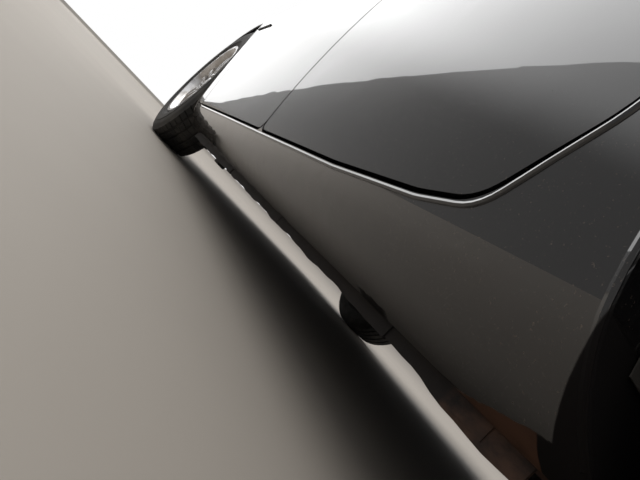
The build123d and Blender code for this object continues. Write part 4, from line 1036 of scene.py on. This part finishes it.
# Wipers.
# Two black arms with rubber blades turn on pivots in the cowl and rest low on the
# windscreen.
wiper_spans = ((0.430, -0.080), (-0.120, -0.560))
wiper_steps = 12
arm_steps = 8
wiper_rest = 1.000
wiper_rise = 0.050
pivot_profile = [(0.0, 0.0), (0.0, 0.014), (0.012, 0.012), (0.014, 0.0)]
for number, (pivot_x, tip_x) in enumerate(wiper_spans):
    wiper_bm = bmesh.new()
    blade = []
    arm = []
    for step in range(wiper_steps + 1):
        share = step / wiper_steps
        x = pivot_x + (tip_x - pivot_x) * share
        rise = 0.045 + wiper_rise * share
        spot, normal, _ = touch(["windscreen"], (x, -end_start, wiper_rest + rise), (0, 1, 0))
        blade.append((spot + normal * 0.006, normal))
        if step < arm_steps:
            arm.append((spot + normal * (0.020 + 0.006 * math.sin(math.pi * share)), normal))
    bead_line(wiper_bm, blade, 0.0050, flat=1.1)
    bead_line(wiper_bm, arm, 0.0075, flat=0.5)
    turned(wiper_bm, pivot_profile, arm[0][0] - Vector((0, 0, 0.008)))
    new_piece(f"wiper_{number + 1}", wiper_bm, seal, "body")

# Dashboard fittings and console.
# A hooded cluster with two dials, slatted vents, a centre panel with knobs, and a
# console with the gear lever stand on the moulded dashboard and the tunnel.
fascia_back = -0.500
fascia_face = -0.462
vent_half = 0.058
slat_pitch = 0.014
knob_profile = [(0.0, 0.0), (0.0, 0.018), (0.014, 0.017), (0.016, 0.014), (0.016, 0.0)]
dial_profile = [
    (0.0, 0.0), (0.0, 0.040), (0.006, 0.043), (0.012, 0.043), (0.012, 0.038), (0.004, 0.034), (0.004, 0.0),
]
lever_profile = [
    (0.0, 0.0), (0.0, 0.055), (0.020, 0.040), (0.055, 0.018), (0.070, 0.008), (0.150, 0.007),
    (0.160, 0.018), (0.180, 0.024), (0.198, 0.020), (0.204, 0.0),
]
dial_face, dial_shader = finish("dial_face", (0.03, 0.03, 0.032), 0.25)
uneven_gloss(dial_face, dial_shader, grain(dial_face, 50.0, 3.0), 0.18, 0.35)
fit_bm = bmesh.new()
block(fit_bm, (0.205, -0.600, 0.905), (0.535, -0.470, 0.938), bevel=0.012)
for cheek_x in (0.215, 0.515):
    block(fit_bm, (cheek_x, fascia_back, 0.800), (cheek_x + 0.010, fascia_face, 0.925), bevel=0.003)
for vent_x in (-0.620, -0.130, 0.130, 0.620):
    vent_low = (vent_x - vent_half, fascia_back, 0.800)
    block(fit_bm, vent_low, (vent_x + vent_half, fascia_face, 0.865), bevel=0.006)
    for step in range(4):
        slat_low = (vent_x - 0.050, -0.464, 0.808 + step * slat_pitch)
        block(fit_bm, slat_low, (vent_x + 0.050, -0.456, 0.811 + step * slat_pitch), bevel=0.001)
block(fit_bm, (-0.115, -0.520, 0.640), (0.115, -0.445, 0.785), bevel=0.008)
for knob_x in (-0.075, 0.0, 0.075):
    turned(fit_bm, knob_profile, (knob_x, -0.446, 0.675), "Y", 24)
block(fit_bm, (-0.640, -0.500, 0.655), (-0.240, -0.470, 0.765), bevel=0.008)
new_piece("dashboard_fittings", fit_bm, plastic, "body")
dial_bm = bmesh.new()
for dial_x in (0.315, 0.425):
    turned(dial_bm, dial_profile, (dial_x, -0.476, 0.858), "Y", 48)
    block(dial_bm, (dial_x - 0.0012, -0.4715, 0.858), (dial_x + 0.0012, -0.4700, 0.886))
block(dial_bm, (-0.095, -0.4455, 0.705), (0.095, -0.4425, 0.770), bevel=0.001)
new_piece("dials", dial_bm, dial_face, "body")
console_bm = bmesh.new()
block(console_bm, (-0.085, -0.440, 0.292), (0.085, 0.420, 0.345), bevel=0.012)
block(console_bm, (-0.075, 0.060, 0.335), (0.075, 0.400, 0.470), bevel=0.016)
turned(console_bm, lever_profile, (0.0, -0.200, 0.340), "Z", 32)
new_piece("console", console_bm, plastic, "body")

# Door cards.
# A moulded panel with an armrest, a pull and a speaker ring is clipped to the inside
# of each door.
card_spans = (("front", -0.700, -0.090), ("rear", 0.095, 0.640))
speaker_profile = [(-0.012, 0.0), (-0.010, 0.058), (-0.013, 0.070), (0.0, 0.078), (0.004, 0.0)]
for side in ("left", "right"):
    way = 1 if side == "left" else -1
    for row, low_y, high_y in card_spans:
        card_bm = bmesh.new()
        block(card_bm, (0.7350, low_y, 0.300), (0.7445, high_y, 0.895), bevel=0.004)
        block(card_bm, (0.7000, low_y + 0.150, 0.590), (0.7380, high_y - 0.020, 0.640), bevel=0.014)
        block(card_bm, (0.7290, low_y + 0.060, 0.680), (0.7370, high_y - 0.060, 0.830), bevel=0.004)
        block(card_bm, (0.7180, low_y + 0.180, 0.735), (0.7300, low_y + 0.290, 0.757), bevel=0.004)
        speaker = bmesh.new()
        ring_from(speaker, speaker_profile, 40)
        bmesh.ops.translate(speaker, vec=(0.7360, low_y + 0.120, 0.420), verts=speaker.verts)
        merge(card_bm, speaker)
        bmesh.ops.scale(card_bm, vec=(way, 1, 1), verts=card_bm.verts)
        bmesh.ops.recalc_face_normals(card_bm, faces=card_bm.faces)
        new_piece(f"{side}_{row}_door_card", card_bm, plastic, f"{side}_{row}_door")

# Carpet.
# Needled carpet lies in the cabin's front and rear footwells and over the luggage
# floor.
carpet_dark = (0.018, 0.018, 0.017)
carpet_light = (0.055, 0.053, 0.050)
footwells = ((-0.690, -0.130), (0.390, 0.630))
carpet_round = 0.003
carpet, carpet_shader = finish("carpet_pile", (0.030, 0.029, 0.028), 0.95)
tint(carpet, carpet_shader, grain(carpet, 420.0, 4.0), carpet_dark, carpet_light)
roughen(carpet, carpet_shader, grain(carpet, 600.0, 3.0), 0.6, 0.002)
carpet_bm = bmesh.new()
for low_y, high_y in footwells:
    block(carpet_bm, (0.125, low_y, 0.1960), (0.690, high_y, 0.2060), cuts=8, bevel=carpet_round)
both(carpet_bm)
block(carpet_bm, (-0.430, 1.120, 0.4010), (0.430, 2.120, 0.4090), cuts=8, bevel=carpet_round)
for vert in carpet_bm.verts:
    vert.co.z += 0.0012 * math.sin(vert.co.x * 17) * math.sin(vert.co.y * 23)
new_piece("carpet", carpet_bm, carpet, "body")

# Seats.
# Foam cushions under woven cloth, with raised bolsters and sewn channels. The front
# pair stand on steel rails bolted to the floor and carry headrests on steel posts.
cloth_dark = (0.030, 0.030, 0.034)
cloth_light = (0.095, 0.095, 0.102)
thread_scale = 260.0
seat_x = 0.370
pad_power = 7
pad_cuts = 31
crown = 0.10
bolster_start = 0.55
bolster_run = 0.25
seam_width = 0.022
seam_depth = 0.14
cross_seam_depth = 0.12
post_profile = [(0.0, 0.0), (0.0, 0.006), (0.120, 0.006), (0.120, 0.0)]
cloth, cloth_shader = finish("seat_cloth", (0.05, 0.05, 0.055), 0.9)
cloth_weave = []
for stretch in ((1, 0, 0), (0, 1, 1)):
    threads = add_node(cloth, "ShaderNodeTexWave", bands_direction="DIAGONAL")
    mapping = add_node(cloth, "ShaderNodeMapping")
    mapping.inputs["Scale"].default_value = stretch
    join(cloth, place(cloth), mapping.inputs["Vector"])
    join(cloth, mapping.outputs["Vector"], threads.inputs["Vector"])
    threads.inputs["Scale"].default_value = thread_scale
    cloth_weave.append(threads.outputs["Fac"])
weave = math_of(cloth, "MULTIPLY", *cloth_weave)
tint(cloth, cloth_shader, weave, cloth_dark, cloth_light)
roughen(cloth, cloth_shader, weave, 0.3, 0.0006)
cloth_shader.inputs["Sheen Weight"].default_value = 0.3


def pad(centre, half, lean, bolster, channels, cross_channels=(), narrow=None):
    """Crowned cushion, its top face turned forward by the lean, with sewn channels."""
    bm = bmesh.new()
    bmesh.ops.create_cube(bm, size=2.0)
    bmesh.ops.subdivide_edges(bm, edges=bm.edges[:], cuts=pad_cuts, use_grid_fill=True)
    for v in bm.verts:
        x, y, z = v.co
        reach = (abs(x) ** pad_power + abs(y) ** pad_power + abs(z) ** pad_power) ** (1 / pad_power)
        x, y, z = x / reach, y / reach, z / reach
        if z > 0:
            z *= 1 + crown * (1 - x * x) * (1 - y * y)
            edge = max(0.0, min(1.0, (abs(x) - bolster_start) / bolster_run))
            z += bolster * edge * edge * (3 - 2 * edge) * (1 - abs(x) ** 12)
            seams = sum(seam_depth * math.exp(-(((x - at) / seam_width) ** 2)) for at in channels)
            z -= seams * (1 - y ** 12)
            seams = sum(cross_seam_depth * math.exp(-(((y - at) / seam_width) ** 2)) for at in cross_channels)
            z -= seams * (1 - x ** 12)
        x *= 1 - 0.035 * (1 - y * y)
        if narrow and y > narrow[0]:
            x *= 1 - narrow[1] * min(1.0, (y - narrow[0]) / 0.12)
        v.co = (x * half[0], y * half[1], z * half[2])
    bmesh.ops.rotate(bm, cent=(0, 0, 0), matrix=Matrix.Rotation(math.radians(lean), 3, "X"), verts=bm.verts)
    bmesh.ops.translate(bm, vec=centre, verts=bm.verts)
    bmesh.ops.recalc_face_normals(bm, faces=bm.faces)
    return bm


def cloth_piece(name, bm, solid=None):
    """Makes a pad a soft piece of a seat, in the place of the plain solid if one is named."""
    piece = new_piece(name, bm, cloth, "body")
    if solid:
        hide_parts(solid)


for side, way in (("left", 1), ("right", -1)):
    middle = way * seat_x
    cushion = pad(
        (middle, 0.130, 0.358), (0.244, 0.245, 0.055), lean=0, bolster=0.42,
        channels=(-0.56, 0.56), cross_channels=(-0.30, 0.15),
    )
    cloth_piece(f"{side}_seat_cushion", cushion, "front_seats")
    back = pad(
        (middle, 0.490, 0.640), (0.244, 0.235, 0.052), lean=74.5, bolster=0.50,
        channels=(-0.56, 0.56), cross_channels=(-0.45, 0.0, 0.45),
    )
    cloth_piece(f"{side}_seat_back", back)
    headrest = pad((middle, 0.582, 0.948), (0.125, 0.066, 0.042), lean=76, bolster=0.0, channels=())
    cloth_piece(f"{side}_seat_headrest", headrest)
    steel_bm = bmesh.new()
    for post in (-0.045, 0.045):
        turned(steel_bm, post_profile, (middle + post, 0.566, 0.820), steps=16)
    for rail in (-0.170, 0.150):
        low = middle + rail
        block(steel_bm, (low, -0.060, 0.200), (low + 0.022, 0.380, 0.232), bevel=0.003)
        block(steel_bm, (low, -0.040, 0.228), (low + 0.022, 0.330, 0.315), bevel=0.006)
    new_piece(f"{side}_seat_frame", steel_bm, cast, "body")
bench = pad(
    (0, 0.790, 0.425), (0.600, 0.228, 0.052), lean=0, bolster=0.15,
    channels=(-0.30, 0.30), cross_channels=(-0.35,), narrow=(0.15, 0.29),
)
cloth_piece("rear_seat_cushion", bench, "rear_seat")
bench_back = pad(
    (0, 1.000, 0.690), (0.430, 0.205, 0.062), lean=84, bolster=0.15,
    channels=(-0.33, 0.33), cross_channels=(-0.30, 0.35),
)
cloth_piece("rear_seat_back", bench_back)
